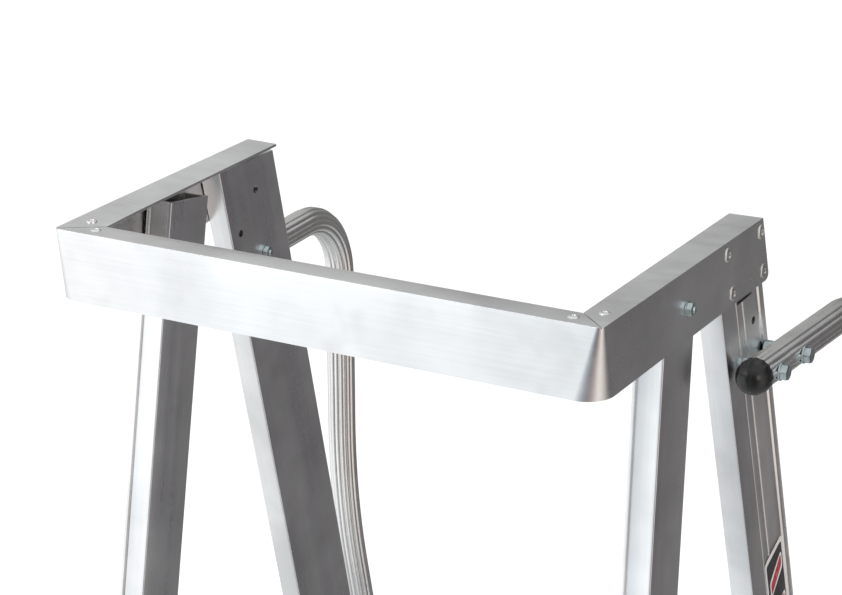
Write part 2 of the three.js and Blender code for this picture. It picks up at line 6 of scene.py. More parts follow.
import bmesh
import bpy
from mathutils import Matrix, Vector
from mathutils.geometry import tessellate_polygon

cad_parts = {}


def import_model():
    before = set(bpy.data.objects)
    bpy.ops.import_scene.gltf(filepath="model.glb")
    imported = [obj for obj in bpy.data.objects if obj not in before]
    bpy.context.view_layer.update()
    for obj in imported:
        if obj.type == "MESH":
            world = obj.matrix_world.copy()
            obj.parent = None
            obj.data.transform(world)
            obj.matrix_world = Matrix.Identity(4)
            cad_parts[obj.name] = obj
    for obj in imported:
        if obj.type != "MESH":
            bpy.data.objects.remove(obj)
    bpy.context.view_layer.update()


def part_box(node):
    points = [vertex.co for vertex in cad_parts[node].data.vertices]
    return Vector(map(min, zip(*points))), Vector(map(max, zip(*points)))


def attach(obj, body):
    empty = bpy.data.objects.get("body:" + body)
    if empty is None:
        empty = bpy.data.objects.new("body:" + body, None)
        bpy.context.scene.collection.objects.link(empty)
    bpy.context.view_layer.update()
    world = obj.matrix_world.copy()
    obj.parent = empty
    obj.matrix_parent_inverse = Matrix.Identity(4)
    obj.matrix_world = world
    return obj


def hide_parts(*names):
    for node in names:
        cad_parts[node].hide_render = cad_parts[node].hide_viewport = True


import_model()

MM = 0.001
SIDES = ((-1, "left"), (1, "right"))

# ---------------------------------------------------------------- driving dimensions
RAIL_LOW, RAIL_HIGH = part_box("guard_rail")
HEIGHT = RAIL_HIGH.z / MM           # floor to the top of the guard rail
RAIL_Y = RAIL_HIGH.y / MM           # outer face of the closed rail
RAIL_WIDTH = 520
RAIL_WEB = 63
RAIL_FLANGE = 32
RAIL_WALL = 3
RAIL_SPLAY = 0.0162
ARM_DEPTH = 306

# A stile's tilt is in degrees and its splay is a slope. "outer" and "face" place its outer face and its
# narrow face at the DATUM height, and "towards" is the way it leans as it goes up.
CLIMB = {
    "tilt": 15, "splay": 0.0255, "width": 22, "depth": 88, "outer": 260.4, "face": 231.3, "towards": 1,
}
REAR = {
    "tilt": 8.7, "splay": 0.0334, "width": 26.5, "depth": 58, "outer": 257.6, "face": 121.4, "towards": -1,
}
DATUM = HEIGHT - 62
WALL = 2.5

PIVOT_DEPTH = 154
PIVOT_Z = HEIGHT - 32.6
REAR_TOP_PAST_PIVOT = 20
SHOE_SOLE = 8
SHOE_HEIGHT = 48
SHOE_WALL = 3

HANDRAIL_TOP = HEIGHT - 125
HANDRAIL_RETURN = 640
HANDRAIL_RADIUS = 15
HANDRAIL_BOLTS = (34, 82)
FIXINGS = (("upper", HANDRAIL_TOP), ("lower", HANDRAIL_RETURN))

STEP_RISE = 286
PLATFORM_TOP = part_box("platform_plank_1")[1].z / MM
HINGE_DEPTH = 492


def slope(degrees):
    return math.tan(math.radians(degrees))


def climb_face(z):
    return CLIMB["face"] + slope(CLIMB["tilt"]) * (DATUM - z)


def climb_back(z):
    return climb_face(z) + CLIMB["depth"] / math.cos(math.radians(CLIMB["tilt"]))


def climb_outer(z):
    return CLIMB["outer"] + CLIMB["splay"] * (DATUM - z)


def rear_outer(z):
    return REAR["outer"] + REAR["splay"] * (DATUM - z)


def rear_face(z):
    return REAR["face"] - slope(REAR["tilt"]) * (DATUM - z)


def arm_outer(depth):
    return RAIL_WIDTH / 2 + RAIL_SPLAY * depth


def to_y(depth):
    return RAIL_Y - depth


def at(side, x, depth, z):
    """A point given by its distance from the middle, its depth from the closed rail and its height."""
    return Vector((side * x, to_y(depth), z))


# ---------------------------------------------------------------- outlines
def fillet(points, radius, steps=3):
    """The outline with every corner rounded. A point may carry a radius of its own as a third number."""
    made = []
    count = len(points)
    for i, point in enumerate(points):
        corner = Vector(point[:2])
        before = Vector(points[i - 1][:2]) - corner
        after = Vector(points[(i + 1) % count][:2]) - corner
        wanted = point[2] if len(point) > 2 else radius
        reach = min(wanted, before.length * 0.49, after.length * 0.49)
        if reach < 1e-3:
            made.append(corner)
            continue
        start = corner + before.normalized() * reach
        end = corner + after.normalized() * reach
        for k in range(steps + 1):
            t = k / steps
            made.append(start * (1 - t) ** 2 + corner * 2 * t * (1 - t) + end * t * t)
    return made


def rectangle(u0, u1, v0, v1, radius=0.0, steps=3):
    return fillet([(u0, v0), (u1, v0), (u1, v1), (u0, v1)], radius, steps)


def turns(sides, phase=0.0):
    return [2 * math.pi * (i + phase) / sides for i in range(sides)]


def basis_of(axis):
    """Two directions square to axis."""
    axis = Vector(axis).normalized()
    other = Vector((0, 0, 1)) if abs(axis.z) < 0.9 else Vector((0, 1, 0))
    first = other.cross(axis).normalized()
    return axis, first, axis.cross(first)


# ---------------------------------------------------------------- pieces
def bridge(low, high):
    """Quads between two rings of vertex numbers."""
    count = len(low)
    return [(low[i], low[(i + 1) % count], high[(i + 1) % count], high[i]) for i in range(count)]


def bridges(rings, count):
    """Quads along a run of rings whose vertices are numbered one ring after the other."""
    faces = []
    for ring in range(rings - 1):
        base = ring * count
        faces += bridge(range(base, base + count), range(base + count, base + 2 * count))
    return faces


def mark_sharp(bm, degrees=38):
    """Shades every face smooth and leaves a crisp edge wherever two faces meet at more than this angle."""
    for face in bm.faces:
        face.smooth = True
    for edge in bm.edges:
        edge.smooth = len(edge.link_faces) == 2 and edge.calc_face_angle(0) < math.radians(degrees)


class Piece:
    """Closed solids gathered into one mesh."""

    def __init__(self):
        self.bm = bmesh.new()

    def add(self, points, faces):
        verts = [self.bm.verts.new(Vector(p) * MM) for p in points]
        made = []
        for face in faces:
            corners = [verts[i] for i in face]
            if len(set(corners)) == len(corners):
                made.append(self.bm.faces.new(corners))
        return made

    def prism(self, loops, start, end):
        """Runs an outline and its holes from start to end, which turn a flat point into a place."""
        points = []
        faces = []
        flat = [[Vector((p[0], p[1], 0)) for p in loop] for loop in loops]
        for loop in loops:
            base = len(points)
            count = len(loop)
            points += [start(p[0], p[1]) for p in loop] + [end(p[0], p[1]) for p in loop]
            faces += bridge(range(base, base + count), range(base + count, base + 2 * count))
        starts = []
        ends = []
        base = 0
        for loop in loops:
            starts += range(base, base + len(loop))
            ends += range(base + len(loop), base + 2 * len(loop))
            base += 2 * len(loop)
        for a, b, c in tessellate_polygon(flat):
            faces.append((starts[a], starts[b], starts[c]))
            faces.append((ends[c], ends[b], ends[a]))
        self.add(points, faces)

    def along_x(self, loops, x0, x1):
        """Outlines drawn in (Y, Z), run along X."""
        self.prism(loops, lambda y, z: (x0, y, z), lambda y, z: (x1, y, z))

    def turned(self, profile, base, axis, sides=28, shape=None):
        """A profile of (radius, height) turned about axis. shape scales the radius by angle and height."""
        axis, first, second = basis_of(axis)
        base = Vector(base)
        points = []
        faces = []
        rings = []
        for radius, height in profile:
            if radius < 1e-6:
                rings.append([len(points)])
                points.append(base + axis * height)
                continue
            rings.append(list(range(len(points), len(points) + sides)))
            for angle in turns(sides):
                r = radius * (shape(angle, height) if shape else 1)
                outward = first * math.cos(angle) + second * math.sin(angle)
                points.append(base + axis * height + outward * r)
        for low, high in zip(rings, rings[1:]):
            for i in range(sides):
                j = (i + 1) % sides
                if len(low) == 1 and len(high) == 1:
                    continue
                if len(low) == 1:
                    faces.append((low[0], high[j], high[i]))
                elif len(high) == 1:
                    faces.append((low[i], low[j], high[0]))
                else:
                    faces.append((low[i], low[j], high[j], high[i]))
        self.add(points, faces)

    def swept(self, section, stations):
        """A closed section carried through stations of (place, first axis, second axis), with flat ends."""
        count = len(section)
        points = [place + a * p[0] + b * p[1] for place, a, b in stations for p in section]
        faces = bridges(len(stations), count)
        last = (len(stations) - 1) * count
        faces.append(tuple(range(count)))
        faces.append(tuple(last + i for i in reversed(range(count))))
        self.add(points, faces)

    def mesh(self, name, sharp=38):
        bmesh.ops.remove_doubles(self.bm, verts=self.bm.verts, dist=1e-7)
        bmesh.ops.recalc_face_normals(self.bm, faces=self.bm.faces)
        mark_sharp(self.bm, sharp)
        mesh = bpy.data.meshes.new(name)
        self.bm.to_mesh(mesh)
        self.bm.free()
        return mesh


def finish_piece(piece, name, body, material, replaces=(), bevel=0.0, segments=2):
    obj = bpy.data.objects.new(name, piece.mesh(name))
    bpy.context.scene.collection.objects.link(obj)
    obj.data.materials.append(material)
    if bevel:
        modifier = obj.modifiers.new("rounded_edges", "BEVEL")
        modifier.width = bevel * MM
        modifier.segments = segments
        modifier.limit_method = "ANGLE"
        modifier.angle_limit = math.radians(38)
        modifier.harden_normals = True
    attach(obj, body)
    if replaces:
        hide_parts(*replaces)
    return obj


def cut(obj, cutter):
    """Takes the cutter's solids out of obj, for good."""
    tool = bpy.data.objects.new("cutter", cutter.mesh("cutter"))
    bpy.context.scene.collection.objects.link(tool)
    modifier = obj.modifiers.new("cut", "BOOLEAN")
    modifier.operation = "DIFFERENCE"
    modifier.solver = "EXACT"
    modifier.object = tool
    bpy.context.view_layer.update()
    depsgraph = bpy.context.evaluated_depsgraph_get()
    made = bpy.data.meshes.new_from_object(obj.evaluated_get(depsgraph))
    obj.modifiers.remove(modifier)
    bm = bmesh.new()
    bm.from_mesh(made)
    mark_sharp(bm)
    bm.to_mesh(made)
    bm.free()
    old = obj.data
    obj.data = made
    made.name = old.name + "_cut"
    bpy.data.meshes.remove(old)
    bpy.data.objects.remove(tool)


# ---------------------------------------------------------------- materials
def node(tree, kind, **values):
    made = tree.nodes.new(kind)
    for key, value in values.items():
        if key.startswith("in_"):
            made.inputs[key[3:].replace("_", " ")].default_value = value
        else:
            setattr(made, key, value)
    return made


def new_material(name):
    material = bpy.data.materials.new(name)
    material.use_nodes = True
    tree = material.node_tree
    return material, tree, tree.nodes["Principled BSDF"]


def dress(tree, shader, colour, roughness, normal=None, metallic=0.0):
    """Wires what a material works out to its shader."""
    tree.links.new(colour, shader.inputs["Base Color"])
    tree.links.new(roughness, shader.inputs["Roughness"])
    shader.inputs["Metallic"].default_value = metallic
    if normal:
        tree.links.new(normal, shader.inputs["Normal"])


def grain_vector(tree, along, stretch):
    """Object coordinates turned so that their first axis runs along the grain, then squeezed along it."""
    coords = node(tree, "ShaderNodeTexCoord")
    axis, first, second = basis_of(along)
    turn = node(tree, "ShaderNodeMapping")
    turn.inputs["Rotation"].default_value = Matrix((axis, first, second)).to_euler()
    squeeze = node(tree, "ShaderNodeMapping")
    squeeze.inputs["Scale"].default_value = (1 / stretch, 1, 1)
    tree.links.new(coords.outputs["Object"], turn.inputs["Vector"])
    tree.links.new(turn.outputs["Vector"], squeeze.inputs["Vector"])
    return turn.outputs["Vector"], squeeze.outputs["Vector"]


def noise(tree, vector, scale, detail=3.0, roughness=0.55):
    made = node(tree, "ShaderNodeTexNoise", in_Scale=scale, in_Detail=detail, in_Roughness=roughness)
    tree.links.new(vector, made.inputs["Vector"])
    return made.outputs["Fac"]


def remap(tree, value, low, high, start=0.3, end=0.7):
    made = node(tree, "ShaderNodeMapRange", clamp=True)
    for socket, number in (("From Min", start), ("From Max", end), ("To Min", low), ("To Max", high)):
        made.inputs[socket].default_value = number
    tree.links.new(value, made.inputs["Value"])
    return made.outputs["Result"]


def feed(tree, value, socket):
    """Sets a socket to a number or a colour, or links another node's output to it."""
    if isinstance(value, (int, float)):
        socket.default_value = value
    elif isinstance(value, tuple):
        socket.default_value = (*value, 1)
    else:
        tree.links.new(value, socket)


def mix_colour(tree, factor, first, second):
    made = node(tree, "ShaderNodeMix", data_type="RGBA")
    for value, socket in ((factor, 0), (first, 6), (second, 7)):
        feed(tree, value, made.inputs[socket])
    return made.outputs[2]


def combine(tree, operation, first, second):
    made = node(tree, "ShaderNodeMath", operation=operation)
    feed(tree, first, made.inputs[0])
    feed(tree, second, made.inputs[1])
    return made.outputs[0]


def weighted(tree, first, second, share):
    """The given share of the first value with the rest of the second."""
    lead = combine(tree, "MULTIPLY", first, share)
    return combine(tree, "ADD", lead, combine(tree, "MULTIPLY", second, 1 - share))


def bump(tree, height, strength, distance, normal=None):
    made = node(tree, "ShaderNodeBump", in_Strength=strength, in_Distance=distance)
    tree.links.new(height, made.inputs["Height"])
    if normal:
        tree.links.new(normal, made.inputs["Normal"])
    return made.outputs["Normal"]


BRIGHT_METAL = (0.91, 0.92, 0.925)
DULL_METAL = (0.76, 0.77, 0.775)
SCUFFED_METAL = (0.62, 0.62, 0.61)


def aluminium(name, along, light=BRIGHT_METAL, dark=DULL_METAL, rough=(0.25, 0.36), lines=1.0):
    """Mill-finish aluminium: die lines along the grain, cloudy patches, small scuffs and dull spots."""
    material, tree, shader = new_material(name)
    plain, grain = grain_vector(tree, along, 55)
    streaks = noise(tree, grain, 420, 4, 0.62)
    broad = noise(tree, grain, 70, 2)
    clouds = noise(tree, plain, 9, 3, 0.6)
    spots = noise(tree, plain, 210, 2)
    tone = weighted(tree, streaks, clouds, 0.2)
    colour = mix_colour(tree, remap(tree, tone, 0, 1, 0.36, 0.60), dark, light)
    scuffs = remap(tree, noise(tree, plain, 26, 2, 0.5), 0, 0.3, 0.58, 0.78)
    colour = mix_colour(tree, scuffs, colour, SCUFFED_METAL)
    wear = weighted(tree, broad, clouds, 0.6)
    roughness = remap(tree, wear, rough[0], rough[1], 0.35, 0.65)
    fine = bump(tree, streaks, 0.03 * lines, 0.0002)
    waves = bump(tree, noise(tree, plain, 11, 0), 0.5, 0.002, fine)
    dress(tree, shader, colour, roughness, bump(tree, spots, 0.015, 0.0002, waves), 1.0)
    return material


def zinc(name):
    """Bright zinc plate with a faint blue-green cast."""
    material, tree, shader = new_material(name)
    plain, _ = grain_vector(tree, (0, 0, 1), 1)
    cloud = noise(tree, plain, 160, 3)
    colour = mix_colour(tree, remap(tree, cloud, 0, 1), (0.40, 0.48, 0.50), (0.66, 0.74, 0.75))
    grit = bump(tree, noise(tree, plain, 900, 2), 0.06, 0.0002)
    dress(tree, shader, colour, remap(tree, cloud, 0.24, 0.42), grit, 1.0)
    return material


def moulding(name, colour, shine, rough, pebble=0.25):
    """Moulded plastic or rubber: fine pebbled skin, dusty on its high spots."""
    material, tree, shader = new_material(name)
    plain, _ = grain_vector(tree, (0, 0, 1), 1)
    dust = noise(tree, plain, 60, 4, 0.65)
    mottled = mix_colour(tree, remap(tree, dust, 0, 1), colour, shine)
    pebbles = bump(tree, noise(tree, plain, 1500, 2), pebble, 0.0002)
    dress(tree, shader, mottled, remap(tree, dust, rough[0], rough[1]), pebbles)
    return material


def stile_axes(side, spec):
    """Up the stile, outward across its width, and towards the climber across its depth."""
    up = Vector((-side * spec["splay"], spec["towards"] * slope(spec["tilt"]), 1)).normalized()
    out = Vector((side, 0, spec["splay"])).normalized()
    across = up.cross(out).normalized()
    return up, out, across if across.y < 0 else -across


ZINC = zinc("zinc_plate")
BLACK_NYLON = moulding("black_nylon", (0.005, 0.005, 0.006), (0.012, 0.0125, 0.0135), (0.22, 0.34), 0.1)
RUBBER = moulding("foot_rubber", (0.016, 0.016, 0.017), (0.05, 0.05, 0.05), (0.6, 0.82), 0.4)
CROSSWISE = aluminium("aluminium_crosswise", (1, 0, 0))
DEPTHWISE = aluminium("aluminium_depthwise", (0, 1, 0))
CLIMB_METAL = {
    side: aluminium(f"aluminium_climb_{hand}", stile_axes(side, CLIMB)[0]) for side, hand in SIDES
}
REAR_METAL = {
    side: aluminium(f"aluminium_rear_{hand}", stile_axes(side, REAR)[0]) for side, hand in SIDES
}
TUBE_METAL = aluminium(
    "aluminium_tube", (0, 0, 1), (0.90, 0.90, 0.89), (0.76, 0.755, 0.75), (0.20, 0.30), 0.2)
TREAD_METAL = aluminium(
    "aluminium_tread", (1, 0, 0), (0.84, 0.85, 0.86), (0.66, 0.67, 0.67), (0.30, 0.44))
RIVET_METAL = aluminium(
    "aluminium_rivet", (0, 0, 1), (0.86, 0.86, 0.85), (0.70, 0.70, 0.69), (0.26, 0.36), 0.3)


# ---------------------------------------------------------------- fasteners
def rivet(piece, base, axis, radius, height):
    """A blind rivet's domed head with the ring and the pin's stub in its middle."""
    profile = [
        (radius * 0.97, -0.8), (radius, 0), (radius, height * 0.22), (radius * 0.95, height * 0.40),
        (radius * 0.80, height * 0.62), (radius * 0.66, height * 0.74), (radius * 0.52, height * 0.82),
        (radius * 0.46, height * 0.80), (radius * 0.42, height * 0.34), (radius * 0.26, height * 0.34),
        (radius * 0.22, height * 0.58), (radius * 0.12, height * 0.66), (0, height * 0.66),
    ]
    piece.turned([(0, -0.8)] + profile, base, axis, 32)


def hexagon(piece, base, axis, across_flats, height, both=False, spin=0.0):
    """A hexagon head or nut, its corners cut back by the usual 30 degree chamfer."""
    axis, first, second = basis_of(axis)
    apothem = across_flats / 2
    crown = apothem * 0.97
    sides = 48
    points = []
    faces = []

    def ring(radius_at, height_at):
        row = list(range(len(points), len(points) + sides))
        for angle in turns(sides):
            r = radius_at(angle)
            h = height_at(r)
            points.append(Vector(base) + axis * h + (first * math.cos(angle) + second * math.sin(angle)) * r)
        return row

    def flat(angle):
        return apothem / math.cos((angle + spin) % (math.pi / 3) - math.pi / 6)

    def chamfer(r):
        return max(0.0, r - crown) * slope(30)

    rows = [ring(lambda a: crown, lambda r: 0)] if both else []
    rows.append(ring(flat, (lambda r: chamfer(r)) if both else (lambda r: 0)))
    rows.append(ring(flat, lambda r: height - chamfer(r)))
    rows.append(ring(lambda a: crown, lambda r: height))
    rows.append(ring(lambda a: crown * 0.5, lambda r: height + 0.02))
    for low, high in zip(rows, rows[1:]):
        faces += bridge(low, high)
    faces.append(tuple(reversed(rows[0])))
    faces.append(tuple(rows[-1]))
    piece.add(points, faces)


def washer(piece, base, axis, radius, thickness):
    edge = thickness * 0.25
    profile = [(0, 0), (radius - edge, 0), (radius, edge), (radius, thickness - edge)]
    piece.turned(profile + [(radius - edge, thickness), (0, thickness)], base, axis, 36)


def thread(piece, base, axis, radius, length, pitch=1.25):
    """The threaded end of a bolt, with a chamfered tip."""
    profile = [(0, 0), (radius * 0.86, 0)]
    count = max(int(length / pitch), 1)
    for i in range(count):
        profile.append((radius, (i + 0.5) * pitch))
        profile.append((radius * 0.86, (i + 1) * pitch))
    profile += [(radius * 0.7, count * pitch + 0.5), (0, count * pitch + 0.5)]
    piece.turned(profile, base, axis, 24)


# ---------------------------------------------------------------- stiles
def stile_end(side, spec, point, normal):
    """Carries a section's point along the stile to a plane."""
    up, out, across = stile_axes(side, spec)
    origin = Vector((side * spec["outer"], to_y(spec["face"]), DATUM))
    normal = Vector(normal)

    def place(u, v):
        base = origin + out * u + across * v
        return base + up * ((Vector(point) - base).dot(normal) / up.dot(normal))

    return place


def level(side, spec, z):
    return stile_end(side, spec, (0, 0, z), (0, 0, 1))


def on_stile(side, spec, u, v, z):
    """A point of a stile by its section's coordinates, at height z."""
    return level(side, spec, z)(u, v)


def bead(v, floor, height=0.8, width=1.5):
    """A fine raised line on the stile's outer face, as points of its section."""
    half = width / 2
    return [(floor, v - half, 0.1), (floor + height, v - half * 0.35, 0.3),
            (floor + height, v + half * 0.35, 0.3), (floor, v + half, 0.1)]


RECESS = -2.0
CLIMB_SECTION = fillet(
    [(-CLIMB["width"], 0, 1.6), (0, 0, 0.8), (0, 28.6, 0.4)]
    + [(0.5, 29.2, 0.3), (0.5, 30.2, 0.3), (RECESS, 31.8, 0.6)]
    + bead(46.5, RECESS)
    + [(RECESS, 77.0, 1.0), (0, 79.0, 0.8), (0, CLIMB["depth"], 1.6), (-CLIMB["width"], CLIMB["depth"], 1.6)]
    + [(-CLIMB["width"] + 0.2, 60, 8), (-CLIMB["width"] + 0.9, 38, 5), (-CLIMB["width"] + 0.7, 34, 3)],
    1.0, 4)
CLIMB_HOLLOW = rectangle(WALL - CLIMB["width"] + 1.2, RECESS - WALL, WALL, CLIMB["depth"] - WALL, 1.0, 2)


# Holes through one wall of each climbing stile, as (offset from the near face, drop, wall).
STILE_HOLES = ((50.8, 37, -CLIMB["width"]), (16, 74, -CLIMB["width"]), (65.5, 92.6, RECESS))


def climbing_stile(side, hand):
    piece = Piece()
    top = level(side, CLIMB, HEIGHT - RAIL_WALL - 2.2)
    piece.prism([CLIMB_SECTION, CLIMB_HOLLOW], level(side, CLIMB, SHOE_SOLE), top)
    stile = finish_piece(piece, f"climbing_stile_{hand}_extrusion", "climbing_frame", CLIMB_METAL[side],
                         [f"climbing_stile_{hand}"])
    holes = Piece()
    for v, drop, u in STILE_HOLES:
        centre = on_stile(side, CLIMB, u, v, HEIGHT - drop)
        start = centre - Vector((side, 0, 0)) * 4
        holes.turned([(0, 0), (3.6, 0), (3.6, 8), (0, 8)], start, (side, 0, 0), 24)
    slot_top = along_arm(ARM_DEPTH * 0.88, HEIGHT - RAIL_WEB)
    near = on_stile(side, CLIMB, 0, 37, slot_top)
    far = on_stile(side, CLIMB, 0, 68, slot_top)
    outline = [(near.y, slot_top + 1), (far.y, slot_top + 1)]
    outline += [(far.y - 1.5, slot_top - 8), (near.y - 1.5, slot_top - 9)]
    holes.along_x([outline], side * (CLIMB["outer"] - 6), side * (CLIMB["outer"] + 4))
    cut(stile, holes)
    return stile


LIP = 3.2                        # a raised lip runs along each edge of the rear stile's narrow faces


def lipped_edge(v, way):
    """Half of a narrow face, from its inner edge to its outer edge, with a lip at both ends."""
    floor = v + way * 1.9
    ridge = v - way * 0.3
    inner = -REAR["width"]
    return [(inner, ridge, 1.2), (inner + LIP, ridge, 0.35), (inner + LIP + 0.2, floor, 0.25),
            (-LIP - 0.2, floor, 0.25), (-LIP, ridge, 0.35), (0, ridge, 1.2)]


REAR_SECTION = fillet(lipped_edge(0, 1) + list(reversed(lipped_edge(REAR["depth"], -1))), 0.5, 4)
REAR_HOLLOW = rectangle(3 - REAR["width"], -3, 4.2, REAR["depth"] - 4.2, 1.2, 3)


def rear_stile(side, hand):
    tilt = math.radians(REAR["tilt"])
    normal = Vector((0, -math.sin(tilt), math.cos(tilt)))
    top = at(side, rear_outer(PIVOT_Z), PIVOT_DEPTH, PIVOT_Z) + normal * REAR_TOP_PAST_PIVOT
    piece = Piece()
    end = stile_end(side, REAR, top, normal)
    piece.prism([REAR_SECTION, REAR_HOLLOW], level(side, REAR, SHOE_SOLE), end)
    return finish_piece(piece, f"rear_stile_{hand}_extrusion", "rear_frame", REAR_METAL[side],
                        [f"rear_stile_{hand}"])


def shoe(side, hand, spec, name, body):
    """A moulded boot: a thick sole, a waist and a rolled top edge."""
    piece = Piece()

    def around(margin, radius):
        return rectangle(-spec["width"] - margin, margin, -margin, spec["depth"] + margin, radius)

    stops = (0.0, SHOE_SOLE - 1.5, SHOE_SOLE + 3, SHOE_HEIGHT - 7)
    for low, high, margin in zip(stops, stops[1:], (2.4, 3.0, 2.3)):
        piece.prism([around(margin, 3.0)], level(side, spec, low), level(side, spec, high))
    rim = around(SHOE_WALL, 3.2)
    inside = around(0.9, 1.5)
    piece.prism([rim, inside], level(side, spec, SHOE_HEIGHT - 7), level(side, spec, SHOE_HEIGHT))
    return finish_piece(piece, f"{name}_{hand}_boot", body, RUBBER,
                        [f"{name}_{hand}"], 0.9, 3)


def shoe_rivets(side, hand, spec, name, body):
    piece = Piece()
    out = stile_axes(side, spec)[1]
    for share in (0.28, 0.72):
        v = spec["depth"] * share
        rivet(piece, on_stile(side, spec, 2.4, v, 28), out, 5, 1.6)
        rivet(piece, on_stile(side, spec, -spec["width"] - 2.4, v, 28), -out, 5, 1.6)
    return finish_piece(piece, f"{name}_{hand}_rivets", body, RIVET_METAL)


# ---------------------------------------------------------------- guard rail
FLANGE_FALL = slope(5)            # the top leg falls a little towards its inner edge
CORNER_TOP = 5.5
CORNER_BOTTOM = {-1: 24.0, 1: 17.5}     # bent by hand, one side tighter than the other
CORNER_STEPS = 14


def corner_radius(side, z):
    """The bent corners are tight at the top and open into a cone below."""
    return CORNER_TOP + (CORNER_BOTTOM[side] - CORNER_TOP) * min(max((HEIGHT - z) / RAIL_WEB, 0), 1)


WEB_STOPS = (-62.6, -61.4, -60, -58.2, -56.4, -54, -41, -20)
RAIL_SECTION = fillet(
    [(0, -RAIL_WEB, 0)] + [(0, stop, 0) for stop in WEB_STOPS] + [(0, 0, 0.1)]
    + [(RAIL_FLANGE, -RAIL_FLANGE * FLANGE_FALL, 0.8)]
    + [(RAIL_FLANGE, -RAIL_WALL - RAIL_FLANGE * FLANGE_FALL, 0.8), (RAIL_WALL, -RAIL_WALL - 0.4, 1.5)]
    + [(RAIL_WALL, stop, 0) for stop in reversed(WEB_STOPS)] + [(RAIL_WALL, -RAIL_WEB, 0)],
    0.5, 3)


def arm_end(z):
    """Depth of the arms' free ends, cut along the climbing stiles with a rounded lower corner."""
    drop = HEIGHT - z
    end = ARM_DEPTH + 0.3 * drop
    radius = 8
    below = drop - (RAIL_WEB - radius)
    if below > 0:
        end -= radius - math.sqrt(max(radius * radius - below * below, 0))
    return end


ARM_RISE = 2.2                    # the free ends of the arms sit this much higher than the closed rail
ARM_TAPER = 0.045                 # and their web is this share narrower


def along_arm(depth, z, inset=0.0):
    """Height of a point of the rail's section, given at the closed rail, at some depth along an arm."""
    share = min(max(depth / ARM_DEPTH, 0), 1)
    level_again = max(inset - RAIL_WALL, 0) * FLANGE_FALL * 0.8
    return HEIGHT - (HEIGHT - z) * (1 - ARM_TAPER * share) + (ARM_RISE + level_again) * share


def rail_stations():
    """For each stop along the rail, a function from (inset, height) to a place."""

    def straight(side, share):
        def place(inset, z):
            start = corner_radius(side, z)
            depth = start + (arm_end(z) - start) * share
            lip = 0.5 * max(0.0, inset - RAIL_WALL) / RAIL_FLANGE if share == 1 else 0
            height = along_arm(depth, z, inset)
            return at(side, arm_outer(depth) - inset, max(depth - lip, inset), height)
        return place

    def bend(side, share):
        def place(inset, z):
            radius = corner_radius(side, z)
            angle = share * math.pi / 2
            inner = max(radius - inset, 0)
            centre = max(radius, inset)
            x = RAIL_WIDTH / 2 - centre + inner * math.cos(angle)
            return at(side, x, centre - inner * math.sin(angle), z)
        return place

    arc = [k / CORNER_STEPS for k in range(CORNER_STEPS + 1)]
    arm = [1, 0.985, 0.75, 0.5, 0.25]
    right = [straight(1, share) for share in arm] + [bend(1, share) for share in arc]
    left = [bend(-1, share) for share in reversed(arc)] + [straight(-1, share) for share in reversed(arm)]
    middle = [lambda inset, z, x=x: Vector((x, to_y(inset), z)) for x in (140, 0, -140)]
    return right + middle + left


def seam_floor(x, y):
    """The mitre's seam is shallow at the corner and runs right through at the inner end."""
    return x, y, HEIGHT - 1.0 - 6 * (RAIL_Y - y) / RAIL_FLANGE


def guard_rail():
    piece = Piece()
    stations = rail_stations()
    count = len(RAIL_SECTION)
    points = [place(p[0], HEIGHT + p[1]) for place in stations for p in RAIL_SECTION]
    faces = bridges(len(stations), count)
    last = (len(stations) - 1) * count
    for a, b, c in tessellate_polygon([[Vector((p[0], p[1], 0)) for p in RAIL_SECTION]]):
        faces.append((a, b, c))
        faces.append((last + c, last + b, last + a))
    piece.add(points, faces)
    rail = finish_piece(piece, "guard_rail_angle", "climbing_frame", CROSSWISE,
                        ["guard_rail"])
    seams = Piece()
    for side, _ in SIDES:
        outer = at(side, RAIL_WIDTH / 2 - 1.6, 1.6, 0)
        inner = at(side, RAIL_WIDTH / 2 - RAIL_FLANGE - 3, RAIL_FLANGE + 3, 0)
        along = (inner - outer).normalized()
        wide = Vector((-along.y, along.x, 0)) * 0.35
        loop = [outer - wide, inner - wide * 1.5, inner + wide * 1.5, outer + wide]
        seams.prism([[p.xy for p in loop]], seam_floor, lambda x, y: (x, y, HEIGHT + 4))
    cut(rail, seams)
    return rail


ARM_RIVETS = ((233, 12), (302, 12), (246, 51.5), (311, 51.5))
GUSSET_RIVETS = ((14.5, 34.5), (32.5, 16.5))


def arm_rivets(side, hand):
    piece = Piece()
    for depth, drop in ARM_RIVETS:
        spot = at(side, arm_outer(depth), depth, along_arm(depth, HEIGHT - drop))
        rivet(piece, spot, (side, 0, 0), 6.4, 2.0)
    return finish_piece(piece, f"arm_rivets_{hand}", "climbing_frame", RIVET_METAL)


def corner_gusset(side, hand):
    reach = 52
    inset = RAIL_WALL + 0.4
    half = RAIL_WIDTH / 2
    inner = RAIL_FLANGE - 3
    plan = [(half - inset - 12, inset), (half - inset - reach, inset), (half - inset - reach, inner),
            (half - inner, inner), (half - inner, inset + reach), (half - inset, inset + reach),
            (half - inset, inset + 12)]
    loop = fillet([(side * x, to_y(depth)) for x, depth in plan], 3)
    piece = Piece()
    top = HEIGHT - RAIL_WALL - RAIL_FLANGE * FLANGE_FALL - 0.3
    piece.prism([loop], lambda x, y: (x, y, top - 2.2), lambda x, y: (x, y, top))
    for across, depth in GUSSET_RIVETS:
        fall = min(across, depth) * FLANGE_FALL
        spot = at(side, half - across, depth, HEIGHT - fall)
        rivet(piece, spot, (0, 0, 1), 4.75, 1.5)
        rivet(piece, Vector((spot.x, spot.y, top - 2.2)), (0, 0, -1), 3.2, 2.4)
    return finish_piece(piece, f"corner_gusset_{hand}_plate", "climbing_frame", RIVET_METAL,
                        [f"corner_gusset_{hand}"], 0.3)


